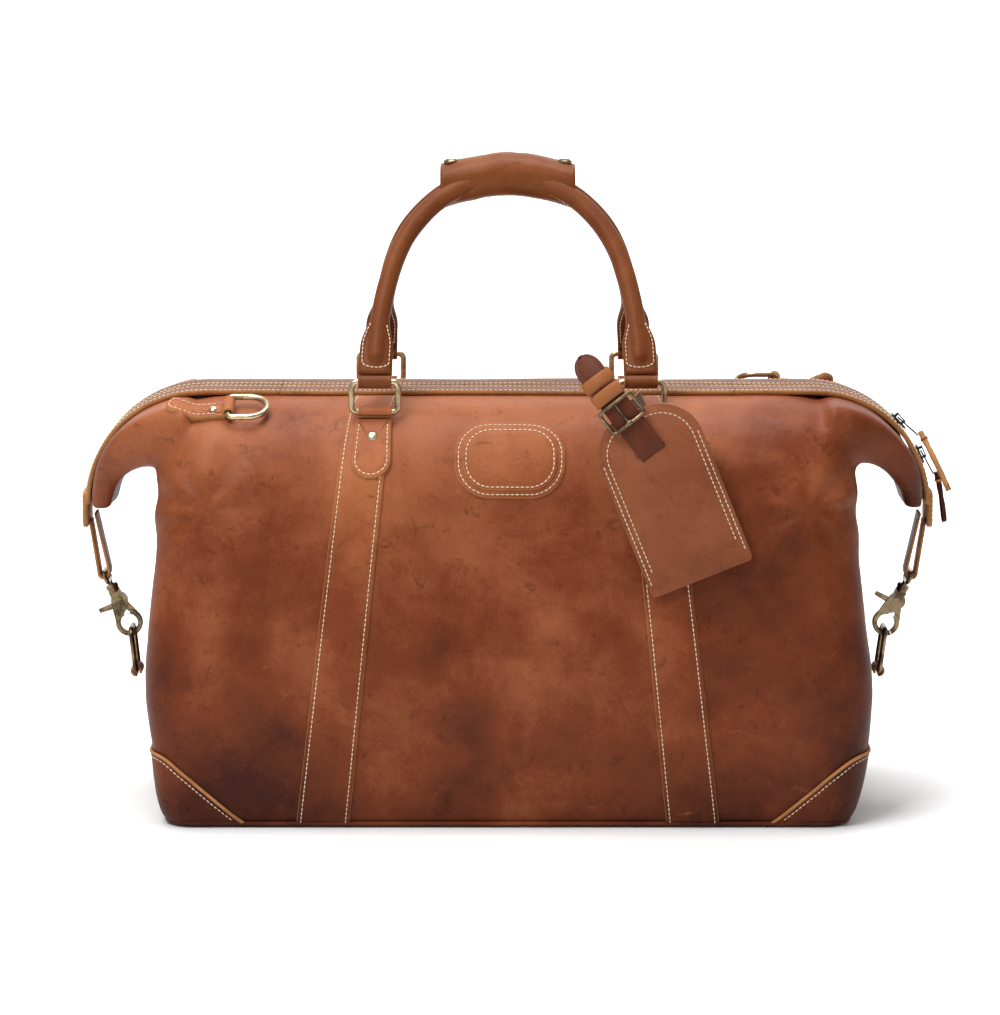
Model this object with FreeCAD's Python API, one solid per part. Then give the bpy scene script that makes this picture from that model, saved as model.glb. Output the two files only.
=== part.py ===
"""Leather weekender duffel bag with fold-down wing ends, rolled handles and brass hardware.

Frame: +X along the bag's length, +Y towards its back, +Z up. The origin is the middle of the base's underside.
Every leather panel is a shell between offsets of one body form, so appliques lie exactly on the panels.
"""

import math
import os

import FreeCAD
import Part

V = FreeCAD.Vector
X, Y, Z = V(1, 0, 0), V(0, 1, 0), V(0, 0, 1)
O = V(0, 0, 0)

# ---------------------------------------------------------------- driving dimensions, mm
LEATHER = 2.0           # thickness of every panel and applique
LINING = 1.0            # thickness of the fabric lining
HEIGHT = 303.5          # top of the body form, where the zip strips sit
# level, half length, half depth and corner radius of the body form
LEVELS = [
    (0.0, 240, 104, 16),
    (8.0, 249, 112, 18),
    (40.0, 256, 118, 24),
    (110.0, 261, 124, 30),
    (190.0, 254, 119, 34),
    (240.0, 251, 112, 38),
    (262.0, 249, 106, 38),
    (280.0, 243, 96, 36),
    (291.0, 236, 84, 34),
    (298.0, 228, 69, 32),
    (302.0, 218, 52, 30),
    (HEIGHT, 208, 40, 26),
]
ARC_X = 222.0           # where the zip track leaves the straight and turns down
ARC_Z = 220.0           # height of the arc's centre
TRACK_R = 86.0          # radius of the chain's mid surface on the arc
TRACK_Z = ARC_Z + TRACK_R
WING_R = 83.5           # outer radius of the wings beside the zip strips
WING_END = 92.0         # degrees of arc to the tip
# angle down the arc, half width, inner radius and edge rounding of the wings
WING_STATIONS = [(6, 90, 30, 9), (28, 80, 42, 9), (50, 64, 55, 8), (70, 48, 63, 7), (WING_END, 30, 67, 6)]
STRIP_HALF = 34.0       # half width of the two zip strips on the straight
STRIP_TIP = 22.0        # and at the tips
CHAIN_HALF = 3.0        # half width of the zip chain
CHAIN_GAP = 0.4         # half of the slit between its two rows
STRIP_EDGE = 4.6        # inner edge of the leather beside the chain
MOUTH_X = 165.0         # the strips fold open between minus and plus this
FOLD_GAP = 0.4          # clearance round the folding strips
RING_X = 95.0           # centre of each handle ring
RING_Y = 84.0
RING_LOW = 298.5        # lower bar of the handle rings
RING_RISE = 21.4        # from the lower bar to the top bar
RING_SPAN = 33.4        # between the ring's two side bars
WIRE_R = 2.25           # ring wire
PIVOT_Z = RING_LOW + RING_RISE
LOOP_IN, LOOP_OUT = 2.65, 4.65      # leather loops round the ring wire
TAB_W = 24.0            # handle tabs
HANDLE_R = 6.6          # rolled handle
CORE_R = 4.4            # rope inside it
GRIP_Y = 9.0            # each handle's distance from the middle, inside the grip
STEM = 18.0             # straight start of the handle's arch
ARCH = [(2, 17, 287.0), (17, 48, 104.0), (48, 90, 78.0)]    # from degree, to degree, radius
GRIP_HALF = 49.0        # half length of the snapped grip
GRIP_LOW, GRIP_HIGH = 446.5, 472.5
GRIP_DEPTH = 18.5       # half depth of the grip
SNAP_X = 41.0
DRING_X = 200.0         # D ring hinge
DRING_SPAN = 27.0       # between the ends of its straight bar
HOOK_TILT = 24.8        # hook's lean from the vertical, degrees
EYE_X, EYE_Z = 297.5, 168.1     # hook eye's bar in the strap loop
HOOK_LEN = 42.0         # from the eye's bar to the middle of the jaw
JAW_IN, JAW_OUT = 6.3, 10.0
SCREW_V, SCREW_W = 0.5, 18.0    # gate screw, across and along the hook from the jaw's middle
SIDE_LOW_X, SIDE_LOW_Z = 274.5, 95.0    # lower bar of the side ring
SIDE_SPAN = 26.0
SLIDERS = {"upper": 47.0, "lower": 66.0}    # degrees down the right-hand arc
TAG_TILT = 22.0         # luggage tag's lean, degrees
TAG_TOP = V(101.0, -126.4, 277.5)     # middle of the tag's slot
TAG_W, TAG_L, TAG_R = 77.0, 126.0, 31.0
STRAP_LEAN = 38.0       # tag strap's lean, degrees


# ---------------------------------------------------------------- small helpers
def box(x0, x1, y0, y1, z0, z1):
    """Box between two corners."""
    return Part.makeBox(x1 - x0, y1 - y0, z1 - z0, V(x0, y0, z0))


def rod(start, end, radius):
    """Cylinder between two points."""
    axis = end - start
    return Part.makeCylinder(radius, axis.Length, start, axis)


def polygon(points):
    """Closed wire through points."""
    return Part.makePolygon(points + [points[0]])


def prism(points, direction):
    """Face through points, extruded."""
    return Part.Face(polygon(points)).extrude(direction)


def union(shapes):
    """One solid from overlapping ones."""
    return shapes[0].multiFuse(shapes[1:]).removeSplitter() if len(shapes) > 1 else shapes[0]


def mirror_x(shape):
    return shape.mirror(O, X)


def mirror_y(shape):
    return shape.mirror(O, Y)


def both_ends(shape):
    """The shape and its mirror image at the other end."""
    return [shape, mirror_x(shape)]


def save(name, shapes):
    """Writes one node from one shape or several."""
    solids = []
    for shape in shapes if isinstance(shapes, list) else [shapes]:
        solids += [s for s in shape.Solids if s.Volume > 1.0]
    compound = Part.makeCompound(solids)
    compound.exportStep(f"parts/{name}.step")
    print(f"{name:24s} {len(solids)} solids {compound.Volume / 1000:9.2f} cm3 valid={compound.isValid()}")


def rounded_rectangle(half_x, half_y, radius, place):
    """Wire of four lines and four arcs, starting at the same corner each time. place maps (x, y) to a point."""
    edges = []
    corners = [(1, 1), (-1, 1), (-1, -1), (1, -1)]
    for k, (sx, sy) in enumerate(corners):
        cx, cy = sx * (half_x - radius), sy * (half_y - radius)
        start = math.radians(90 * k)
        arc = [
            place(cx + radius * math.cos(start + a), cy + radius * math.sin(start + a))
            for a in (0, math.pi / 4, math.pi / 2)
        ]
        edges.append(Part.Arc(*arc).toShape())
        nx, ny = corners[(k + 1) % 4]
        ncx, ncy = nx * (half_x - radius), ny * (half_y - radius)
        follow = start + math.pi / 2
        edges.append(
            Part.makeLine(arc[2], place(ncx + radius * math.cos(follow), ncy + radius * math.sin(follow)))
        )
    return Part.Wire(edges)


def wire_loop(path, radius, start, direction):
    """Round wire swept along a path."""
    profile = Part.Wire(Part.makeCircle(radius, start, direction))
    return path.makePipeShell([profile], True, True)


# ---------------------------------------------------------------- leather forms
def body_form(offset):
    """Body's outer form, grown by offset on every side."""
    stretch = (HEIGHT + 2 * offset) / HEIGHT
    wires = []
    for z, a, b, r in LEVELS:
        high = -offset + z * stretch
        wires.append(
            rounded_rectangle(a + offset, b + offset, r + offset, lambda x, y, high=high: V(x, y, high))
        )
    return Part.makeLoft(wires, True, True)


def wing_form(offset):
    """Right-hand wing's outer form: sections fanned out round the arc's axis."""
    wires = []
    for angle, half, inner, rounding in WING_STATIONS:
        a = math.radians(angle)
        middle = (inner + WING_R) / 2
        reach = (WING_R - inner) / 2 + offset

        def place(u, v, a=a, middle=middle):
            r = middle + v
            return V(ARC_X + r * math.sin(a), u, ARC_Z + r * math.cos(a))

        wires.append(rounded_rectangle(half + offset, reach, rounding + offset, place))
    return Part.makeLoft(wires, True, False)


def strip_plan(half_straight, half_tip, low, high):
    """Prism over the zip's plan: parallel sides, narrowing past the arc's start."""
    end = ARC_X + TRACK_R + 20
    outline = [
        V(-end, -half_tip, low), V(-ARC_X, -half_straight, low), V(ARC_X, -half_straight, low),
        V(end, -half_tip, low), V(end, half_tip, low), V(ARC_X, half_straight, low),
        V(-ARC_X, half_straight, low), V(-end, half_tip, low),
    ]
    return prism(outline, V(0, 0, high - low))


def arc_sector(inner, outer, y0, y1, start, end):
    """Part of a ring round the right-hand arc's axis, from start to end degrees down it."""
    def at(r, angle):
        a = math.radians(angle)
        return V(ARC_X + r * math.sin(a), y0, ARC_Z + r * math.cos(a))

    mid = (start + end) / 2
    edges = [
        Part.Arc(at(outer, start), at(outer, mid), at(outer, end)).toShape(),
        Part.makeLine(at(outer, end), at(inner, end)),
        Part.Arc(at(inner, end), at(inner, mid), at(inner, start)).toShape(),
        Part.makeLine(at(inner, start), at(outer, start)),
    ]
    return Part.Face(Part.Wire(edges)).extrude(V(0, y1 - y0, 0))


def track_band(low, high, y0, y1, x_from):
    """Right-hand end of a band along the zip track, between two heights over the chain's mid surface."""
    straight = box(x_from, ARC_X, y0, y1, TRACK_Z + low, TRACK_Z + high)
    bend = arc_sector(TRACK_R + low, TRACK_R + high, y0, y1, 0, WING_END - 2)
    return union([straight, bend])


def leather_shell():
    """The whole leather skin, open under the zip strips."""
    outer = union([body_form(0), wing_form(0), mirror_x(wing_form(0))])
    inner = union([body_form(-LEATHER), wing_form(-LEATHER), mirror_x(wing_form(-LEATHER))])
    skin = outer.cut(inner)
    mouth = strip_plan(STRIP_HALF + 0.5, STRIP_TIP + 0.5, ARC_Z - 60, HEIGHT + 10)
    return skin.cut(mouth.cut(box(-ARC_X - 26, ARC_X + 26, -60, 60, 100, HEIGHT - 20)))


def applique(outline, inner=0.0, outer=LEATHER):
    """Leather laid on the front panel inside an outline given as (x, z) points."""
    skin = body_form(outer).cut(body_form(inner))
    column = prism([V(x, -200, z) for x, z in outline], V(0, 160, 0))
    return skin.common(column)


def curved_applique(wire_edges, inner=0.0, outer=LEATHER):
    """As applique, for an outline of lines and arcs in the plane y = -200."""
    skin = body_form(outer).cut(body_form(inner))
    return skin.common(Part.Face(Part.Wire(wire_edges)).extrude(V(0, 160, 0)))


# ---------------------------------------------------------------- bag body
def make_panels():
    skin = leather_shell()
    base = box(-300, 300, -200, 200, -1, LEATHER)
    side = box(200, 270, -62, 62, LEATHER, 262)
    ends = union([side, mirror_x(side)])
    wall = skin.cut(base)
    save("base_panel", skin.common(base))
    save("right_end_panel", wall.common(side))
    save("left_end_panel", wall.common(mirror_x(side)))
    rest = wall.cut(ends)
    save("front_panel", rest.common(box(-400, 400, -200, 0, -5, 400)))
    save("back_panel", rest.common(box(-400, 400, 0, 200, -5, 400)))


def make_insides():
    cavity = body_form(-LEATHER)
    lined = cavity.cut(body_form(-LEATHER - LINING))
    top = LEVELS[-4][0]
    save("lining", lined.common(box(-300, 300, -200, 200, 0, top)))
    board_z = LEATHER + LINING
    board = rounded_rectangle(228, 92, 26, lambda x, y: V(x, y, board_z))
    save("base_board", Part.Face(board).extrude(V(0, 0, 2.4)))


def make_base_piping():
    z, radius = 3.2, 1.5
    a, b, r = 246.6, 110.2, 20.0
    path = rounded_rectangle(a, b, r, lambda x, y: V(x, y, z))
    save("base_piping", wire_loop(path, radius, V(a, b - r, z), Y))


def make_straps():
    left = [(-152.0, 5.0), (-114.0, 5.0), (-79.0, HEIGHT + 1), (-111.0, HEIGHT + 1)]
    strap = applique(left)
    front = both_ends(strap)
    save("front_straps", front)
    save("back_straps", [mirror_y(s) for s in front])


def make_corner_patches():
    y = -200
    edges = [
        Part.Arc(V(-262, y, 56), V(-222, y, 33), V(-195, y, 5)).toShape(),
        Part.makeLine(V(-195, y, 5), V(-275, y, 5)),
        Part.makeLine(V(-275, y, 5), V(-275, y, 56)),
        Part.makeLine(V(-275, y, 56), V(-262, y, 56)),
    ]
    patch = curved_applique(edges)
    front = both_ends(patch)
    save("front_corner_patches", front)
    save("back_corner_patches", [mirror_y(s) for s in front])


def oval(half_x, half_z, radius, centre_z):
    return rounded_rectangle(half_x, half_z, radius, lambda x, z: V(x + 1.5, -200, centre_z + z)).Edges


def make_patch():
    centre = 267.5
    save("patch_back", curved_applique(oval(38.5, 27.5, 22, centre), 0, LEATHER))
    save("patch_front", curved_applique(oval(34, 23, 18, centre), LEATHER, 2 * LEATHER))


# ---------------------------------------------------------------- zip
def make_zip():
    strip_low, strip_high = -1.0, 1.2
    plan = strip_plan(STRIP_HALF, STRIP_TIP, 0, HEIGHT + 20)
    bodies = {
        "strip": (STRIP_EDGE, STRIP_HALF, strip_low, strip_high),
        "tape": (CHAIN_GAP + 0.1, 13.0, strip_low - 1.0, strip_low - 0.2),
        "chain": (CHAIN_GAP, CHAIN_HALF, -0.9, 1.1),
    }
    ends = {}
    for kind, (y0, y1, low, high) in bodies.items():
        back_right = track_band(low, high, y0, y1, MOUTH_X + FOLD_GAP).common(plan)
        back_middle = box(-MOUTH_X, MOUTH_X, y0, y1, TRACK_Z + low, TRACK_Z + high)
        save(f"mouth_back_{kind}", back_middle)
        save(f"mouth_front_{kind}", mirror_y(back_middle))
        ends[kind] = both_ends(back_right)
    for kind, pieces in ends.items():
        save(f"zip_ends_{kind}", pieces + [mirror_y(p) for p in pieces])


def slider_frame(angle):
    """Places something drawn over the origin, +X along the track and +Z away from it, at an angle down the arc."""
    a = math.radians(angle)
    place = FreeCAD.Placement(
        V(ARC_X + TRACK_R * math.sin(a), 0, ARC_Z + TRACK_R * math.cos(a)), FreeCAD.Rotation(Y, angle)
    )
    return place


def make_slider(name, angle):
    place = slider_frame(angle)
    long, half = 14.0, 4.4
    top = box(-long / 2, long / 2, -half, half, 1.9, 3.5)
    under = box(-5.5, 5.5, -3.6, 3.6, -4.0, -2.6)
    wedge = box(-2.5, 2.5, -0.22, 0.22, -2.8, 2.2)
    bridge = box(-5.0, 4.0, -1.6, 1.6, 3.4, 6.6).cut(box(-3.2, 2.4, -2, 2, 3.5, 5.7))
    slider = union([top, under, wedge, bridge])
    slider.Placement = place
    save(f"{name}_slider", slider)
    # puller: a flat link round the slider's bridge, lying along the track and a little off it
    eye_x, eye_z = 0.8, 4.6
    link = box(eye_x - 2.6, eye_x + 17.0, -2.8, 2.8, eye_z - 0.55, eye_z + 0.55)
    link = link.cut(box(eye_x - 1.2, eye_x + 4.6, -1.9, 1.9, 0, 10))
    link = link.cut(box(eye_x + 12.4, eye_x + 15.0, -1.9, 1.9, 0, 10))
    link.rotate(V(eye_x, 0, eye_z), Y, -5.0)
    link.Placement = place.multiply(link.Placement)
    save(f"{name}_puller", link)
    return place.multVec(V(eye_x, 0, eye_z)), place.multVec(V(eye_x + 15.4, 0, eye_z + 1.4))


def make_pull(name, start, end, drift):
    """Leather strip from the puller's hole, with its knot, hanging down and outwards."""
    width, thick = 8.0, 2.6
    run = end - start
    across = Y
    normal = run.cross(across).normalize()
    corners = [start - across * (width / 2), start + across * (width / 2)]
    low = [c + run + across * drift for c in reversed(corners)]
    strip = prism([c + normal * 0.4 for c in corners + low], normal * thick)
    save(f"{name}_pull", strip)


def make_sliders():
    _, upper = make_slider("upper", SLIDERS["upper"])
    _, lower = make_slider("lower", SLIDERS["lower"])
    make_pull("upper", upper + V(1.6, 0, 0.4), upper + V(20.5, 0, -39.0), -24.0)
    make_pull("lower", lower + V(1.6, 0, -0.6), lower + V(8.0, 0, -38.0), 3.0)


# ---------------------------------------------------------------- handles
def ring_path(span, rise, corner, place):
    return rounded_rectangle(span / 2, rise / 2, corner, place)


def make_rings():
    middle = RING_LOW + RING_RISE / 2
    corner = 4.0
    path = ring_path(RING_SPAN, RING_RISE, corner, lambda x, z: V(RING_X + x, -RING_Y, middle + z))
    ring = wire_loop(path, WIRE_R, V(RING_X + RING_SPAN / 2, -RING_Y, middle + RING_RISE / 2 - corner), Z)
    pair = both_ends(ring)
    save("front_rings", pair)
    save("back_rings", [mirror_y(r) for r in pair])


def leather_loop(y, z):
    """Loop of a tab round a ring's bar, under the right-hand ring."""
    outer = rod(V(RING_X - TAB_W / 2, y, z), V(RING_X + TAB_W / 2, y, z), LOOP_OUT)
    return outer, rod(V(RING_X - TAB_W, y, z), V(RING_X + TAB_W, y, z), LOOP_IN)


def make_bag_tabs():
    """Tab that holds each ring: its loop, and the tongue sewn and riveted to the panel."""
    loop, bore = leather_loop(-RING_Y, RING_LOW)
    half, round_z, low_z, high_z, y = 14.0, 266.0, 252.0, 294.0, -200
    shift = RING_X + 2.0
    edges = [
        Part.Arc(V(shift - half, y, round_z), V(shift, y, low_z), V(shift + half, y, round_z)).toShape(),
        Part.makeLine(V(shift + half, y, round_z), V(shift + half - 1, y, high_z)),
        Part.makeLine(V(shift + half - 1, y, high_z), V(shift - half - 1, y, high_z)),
        Part.makeLine(V(shift - half - 1, y, high_z), V(shift - half, y, round_z)),
    ]
    tongue = curved_applique(edges, LEATHER, 2 * LEATHER)
    web = box(RING_X - TAB_W / 2, RING_X + TAB_W / 2, -RING_Y - 5.4, -RING_Y - 1.0, RING_LOW - 8.0, RING_LOW)
    web = web.cut(body_form(LEATHER))
    tab = union([loop, web, tongue]).cut(bore).cut(body_form(LEATHER))
    pair = both_ends(tab)
    save("front_ring_tabs", pair)
    save("back_ring_tabs", [mirror_y(t) for t in pair])


def lean():
    """Angle that each handle leans towards the middle."""
    rise = STEM * math.cos(math.radians(ARCH[0][0]))
    for start, end, radius in ARCH:
        rise += radius * (math.sin(math.radians(end)) - math.sin(math.radians(start)))
    return math.asin((RING_Y - GRIP_Y) / rise)


def arch_points():
    """Joints of the right-hand half of the arch, from the top down, with each arc's middle, in the handle's plane."""
    u, v = 0.0, 0.0
    marks = [(u, v)]
    for start, end, radius in reversed(ARCH):
        for part in (0.5, 1.0):
            low = end - (end - start) * part
            du = radius * (math.cos(math.radians(low)) - math.cos(math.radians(end)))
            dv = radius * (math.sin(math.radians(end)) - math.sin(math.radians(low)))
            marks.append((u + du, v - dv))
        u, v = marks[-1]
    a = math.radians(ARCH[0][0])
    marks.append((u + STEM * math.sin(a), v - STEM * math.cos(a)))
    return marks


def handle_path(cut_low):
    """Front handle's centre line as a wire, from its left end over to its right, cut_low above the ring's bar."""
    tilt = lean()
    marks = arch_points()
    rise = -marks[-1][1]
    slide = marks[-1][0] - RING_X

    def at(u, v):
        high = rise + v
        x = u - slide * (high < rise) * (1 if u > 0 else -1) * min(1.0, abs(u) / marks[-1][0])
        return V(x, -RING_Y + high * math.sin(tilt), PIVOT_Z + high * math.cos(tilt))

    last, foot = marks[-2], marks[-1]
    share = (foot[1] + cut_low - last[1]) / (foot[1] - last[1])
    foot = (last[0] + (foot[0] - last[0]) * share, foot[1] + cut_low)
    right = []
    for k in range(0, len(marks) - 2, 2):
        right.append((marks[k], marks[k + 1], marks[k + 2]))
    edges = [Part.makeLine(at(-foot[0], foot[1]), at(-last[0], last[1]))]
    for a, m, b in reversed(right):
        edges.append(Part.Arc(at(-b[0], b[1]), at(-m[0], m[1]), at(-a[0], a[1])).toShape())
    for a, m, b in right:
        edges.append(Part.Arc(at(*a), at(*m), at(*b)).toShape())
    edges.append(Part.makeLine(at(*last), at(*foot)))
    return Part.Wire(edges), at(-foot[0], foot[1]), at(-last[0], last[1]) - at(-foot[0], foot[1])


def handle_tab():
    """Flat stitched end of the front handle's right-hand side, with its loop round the ring's top bar."""
    loop, bore = leather_loop(-RING_Y, PIVOT_Z)
    plate = box(RING_X - TAB_W / 2, RING_X + TAB_W / 2, -RING_Y - 3.2, -RING_Y + 3.2, PIVOT_Z + 2.0, PIVOT_Z + 34.0)
    plate.rotate(V(0, -RING_Y, PIVOT_Z), X, -math.degrees(lean()))
    return union([loop, plate]).cut(bore)


def make_handles():
    path, start, direction = handle_path(12.0)
    roll = wire_loop(path, HANDLE_R, start, direction)
    path, start, direction = handle_path(16.0)
    rope = wire_loop(path, CORE_R, start, direction)
    tab = handle_tab()
    solid = union([roll, tab, mirror_x(tab)])
    cover = solid.cut(rope)
    for name, shape in (("handle", cover), ("handle_rope", rope)):
        save("front_" + name, shape)
        turned = shape.copy()
        turned.rotate(V(0, 0, 0), Z, 180)
        save("back_" + name, turned)
    return solid


def grip_section(grow, x):
    """Grip's section as a wire across the X axis."""
    half_z = (GRIP_HIGH - GRIP_LOW) / 2 + grow
    middle = (GRIP_HIGH + GRIP_LOW) / 2
    drop = 8.0 * (x / GRIP_HALF) ** 2
    return rounded_rectangle(GRIP_DEPTH + grow, half_z, 8.0 + grow, lambda y, z: V(x, y, middle - drop + z))


def make_grip(handle):
    """Snapped leather grip in two halves. handle is the front handle's solid, which the grip is clear of."""
    stations = [-GRIP_HALF, -GRIP_HALF / 2, 0, GRIP_HALF / 2, GRIP_HALF]
    outer = Part.makeLoft([grip_section(0, x) for x in stations], True, False)
    longer = [x * 1.05 for x in stations]
    inner = Part.makeLoft([grip_section(-LEATHER, x) for x in longer], True, False)
    sleeve = outer.cut(inner)
    seam = 0.3
    flap_y, flap_low = 14.0, GRIP_HIGH + 0.4
    front = sleeve.common(box(-60, 60, -40, -seam, 400, 500))
    back = sleeve.common(box(-60, 60, seam, 40, 400, 500))
    flap_form = outer.copy()
    flap_form.translate(V(0, 0, LEATHER + 0.4))
    flap = flap_form.cut(outer).common(box(-60, 60, -9.0, flap_y - 5, 455, 500))
    lower = outer.copy()
    lower.translate(V(0, 0, 0.4))
    flap = flap.cut(lower.common(box(-60, 60, seam - 0.6, 40, 400, 500)))
    front = union([front, flap]).cut(handle)
    back = back.cut(mirror_y(handle))
    save("grip_front", max(front.Solids, key=lambda s: s.Volume))
    save("grip_back", max(back.Solids, key=lambda s: s.Volume))
    cap_z = flap_low + LEATHER - 3.9
    caps = []
    for side in (-1, 1):
        x = side * SNAP_X
        caps.append(rod(V(x, 1.5, cap_z), V(x, 1.5, cap_z + 1.6), 5.2))
    save("snap_caps", [c.cut(flap_form) for c in caps])


# ---------------------------------------------------------------- D rings and rivets
def surface_point(y, z_guess):
    """Height of the body form's shoulder at a depth from the middle."""
    for (z0, _, b0, _), (z1, _, b1, _) in zip(LEVELS, LEVELS[1:]):
        if b1 <= y <= b0 and z1 > 200:
            return z0 + (z1 - z0) * (b0 - y) / (b0 - b1)
    return z_guess


def dring_frame():
    """Placement whose +X runs along the bag, +Y up the front shoulder's slope and +Z off the leather."""
    y_low, y_high = 88.0, 60.0
    z_low, z_high = surface_point(y_low, 0), surface_point(y_high, 0)
    slope = math.degrees(math.atan2(z_high - z_low, y_low - y_high))
    middle = V(-DRING_X, -(y_low + y_high) / 2, (z_low + z_high) / 2)
    return FreeCAD.Placement(middle, FreeCAD.Rotation(X, slope))


DRING_LIFT = 8.0        # the D ring's plane over the chord of the shoulder


def make_drings():
    place = dring_frame()
    half, wire, corner = DRING_SPAN / 2, 2.2, 3.6
    reach = 14.0
    nick = corner * (1 - math.cos(math.pi / 4))
    edges = [
        Part.makeLine(V(0, -half + corner, 0), V(0, half - corner, 0)),
        Part.Arc(V(0, half - corner, 0), V(nick, half - nick, 0), V(corner, half, 0)).toShape(),
        Part.makeLine(V(corner, half, 0), V(reach, half, 0)),
        Part.Arc(V(reach, half, 0), V(reach + half, 0, 0), V(reach, -half, 0)).toShape(),
        Part.makeLine(V(reach, -half, 0), V(corner, -half, 0)),
        Part.Arc(V(corner, -half, 0), V(nick, -half + nick, 0), V(0, -half + corner, 0)).toShape(),
    ]
    ring = wire_loop(Part.Wire(edges), wire, V(0, -half + corner, 0), Y)
    ring.translate(V(0, 0, DRING_LIFT))
    ring.Placement = place.multiply(ring.Placement)
    save("front_dring", ring)
    turned = ring.copy()
    turned.rotate(O, Z, 180)
    save("back_dring", turned)
    # tab: loop round the straight bar, and a tongue lying back along the bag
    loop = rod(V(0, -8.5, DRING_LIFT), V(0, 8.5, DRING_LIFT), 4.6)
    bore = rod(V(0, -20, DRING_LIFT), V(0, 20, DRING_LIFT), 2.6)
    tongue = box(-38, -1.5, -8.5, 8.5, DRING_LIFT - 4.4, DRING_LIFT - 1.0)
    nose = rod(V(-38, 0, DRING_LIFT - 4.4), V(-38, 0, DRING_LIFT - 1.0), 8.5)
    tab = union([loop, tongue, nose]).cut(bore)
    rivet = rod(V(-11, 0, DRING_LIFT - 1.0), V(-11, 0, DRING_LIFT + 0.4), 3.2)
    for shape in (tab, rivet):
        shape.Placement = place.multiply(shape.Placement)
    tab = tab.cut(body_form(0)).cut(mirror_x(wing_form(0)))
    turned, turned_rivet = tab.copy(), rivet.copy()
    turned.rotate(O, Z, 180)
    turned_rivet.rotate(O, Z, 180)
    save("dring_tabs", [tab, turned])
    return [rivet, turned_rivet]


def make_rivets(dring_rivets):
    """Domed rivets: one in each ring tab, one in each D ring tab."""
    z, x = 286.0, RING_X
    domes = []
    head = rod(V(x, -130, z), V(x, -60, z), 3.6)
    cap = body_form(2 * LEATHER + 1.4).cut(body_form(2 * LEATHER)).common(head)
    front = [s for s in cap.Solids if s.CenterOfMass.y < 0]
    for dome in both_ends(front[0]):
        domes += [dome, mirror_y(dome)]
    save("rivets", domes + dring_rivets)


# ---------------------------------------------------------------- wing ends, hooks and side rings
def hook_axes(side):
    """Across and along directions of a hook, in the XZ plane. side is -1 at the left end and 1 at the right."""
    a = math.radians(HOOK_TILT)
    along = V(side * math.sin(a), 0, math.cos(a))
    across = V(math.cos(a), 0, -side * math.sin(a))
    return across, along


def hook_middle(side):
    _, along = hook_axes(side)
    return V(side * EYE_X, 0, EYE_Z) - along * HOOK_LEN


def hook_place(side):
    """Placement whose +X is across the hook, +Y towards the back and +Z along it, at the jaw's middle."""
    return FreeCAD.Placement(hook_middle(side), FreeCAD.Rotation(Y, side * HOOK_TILT))


def jaw_sector(start, end, half_y):
    """Part of the jaw's ring, in the hook's own frame, angles anticlockwise from across."""
    def at(r, angle):
        a = math.radians(angle)
        return V(r * math.cos(a), -half_y, r * math.sin(a))

    mid = (start + end) / 2
    edges = [
        Part.Arc(at(JAW_OUT, start), at(JAW_OUT, mid), at(JAW_OUT, end)).toShape(),
        Part.makeLine(at(JAW_OUT, end), at(JAW_IN, end)),
        Part.Arc(at(JAW_IN, end), at(JAW_IN, mid), at(JAW_IN, start)).toShape(),
        Part.makeLine(at(JAW_IN, start), at(JAW_OUT, start)),
    ]
    sector = Part.Face(Part.Wire(edges)).extrude(V(0, 2 * half_y, 0))
    curved = [e for e in sector.Edges if e.Length > 6 and isinstance(e.Curve, Part.Circle)]
    return sector.makeFillet(0.8, curved)


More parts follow.
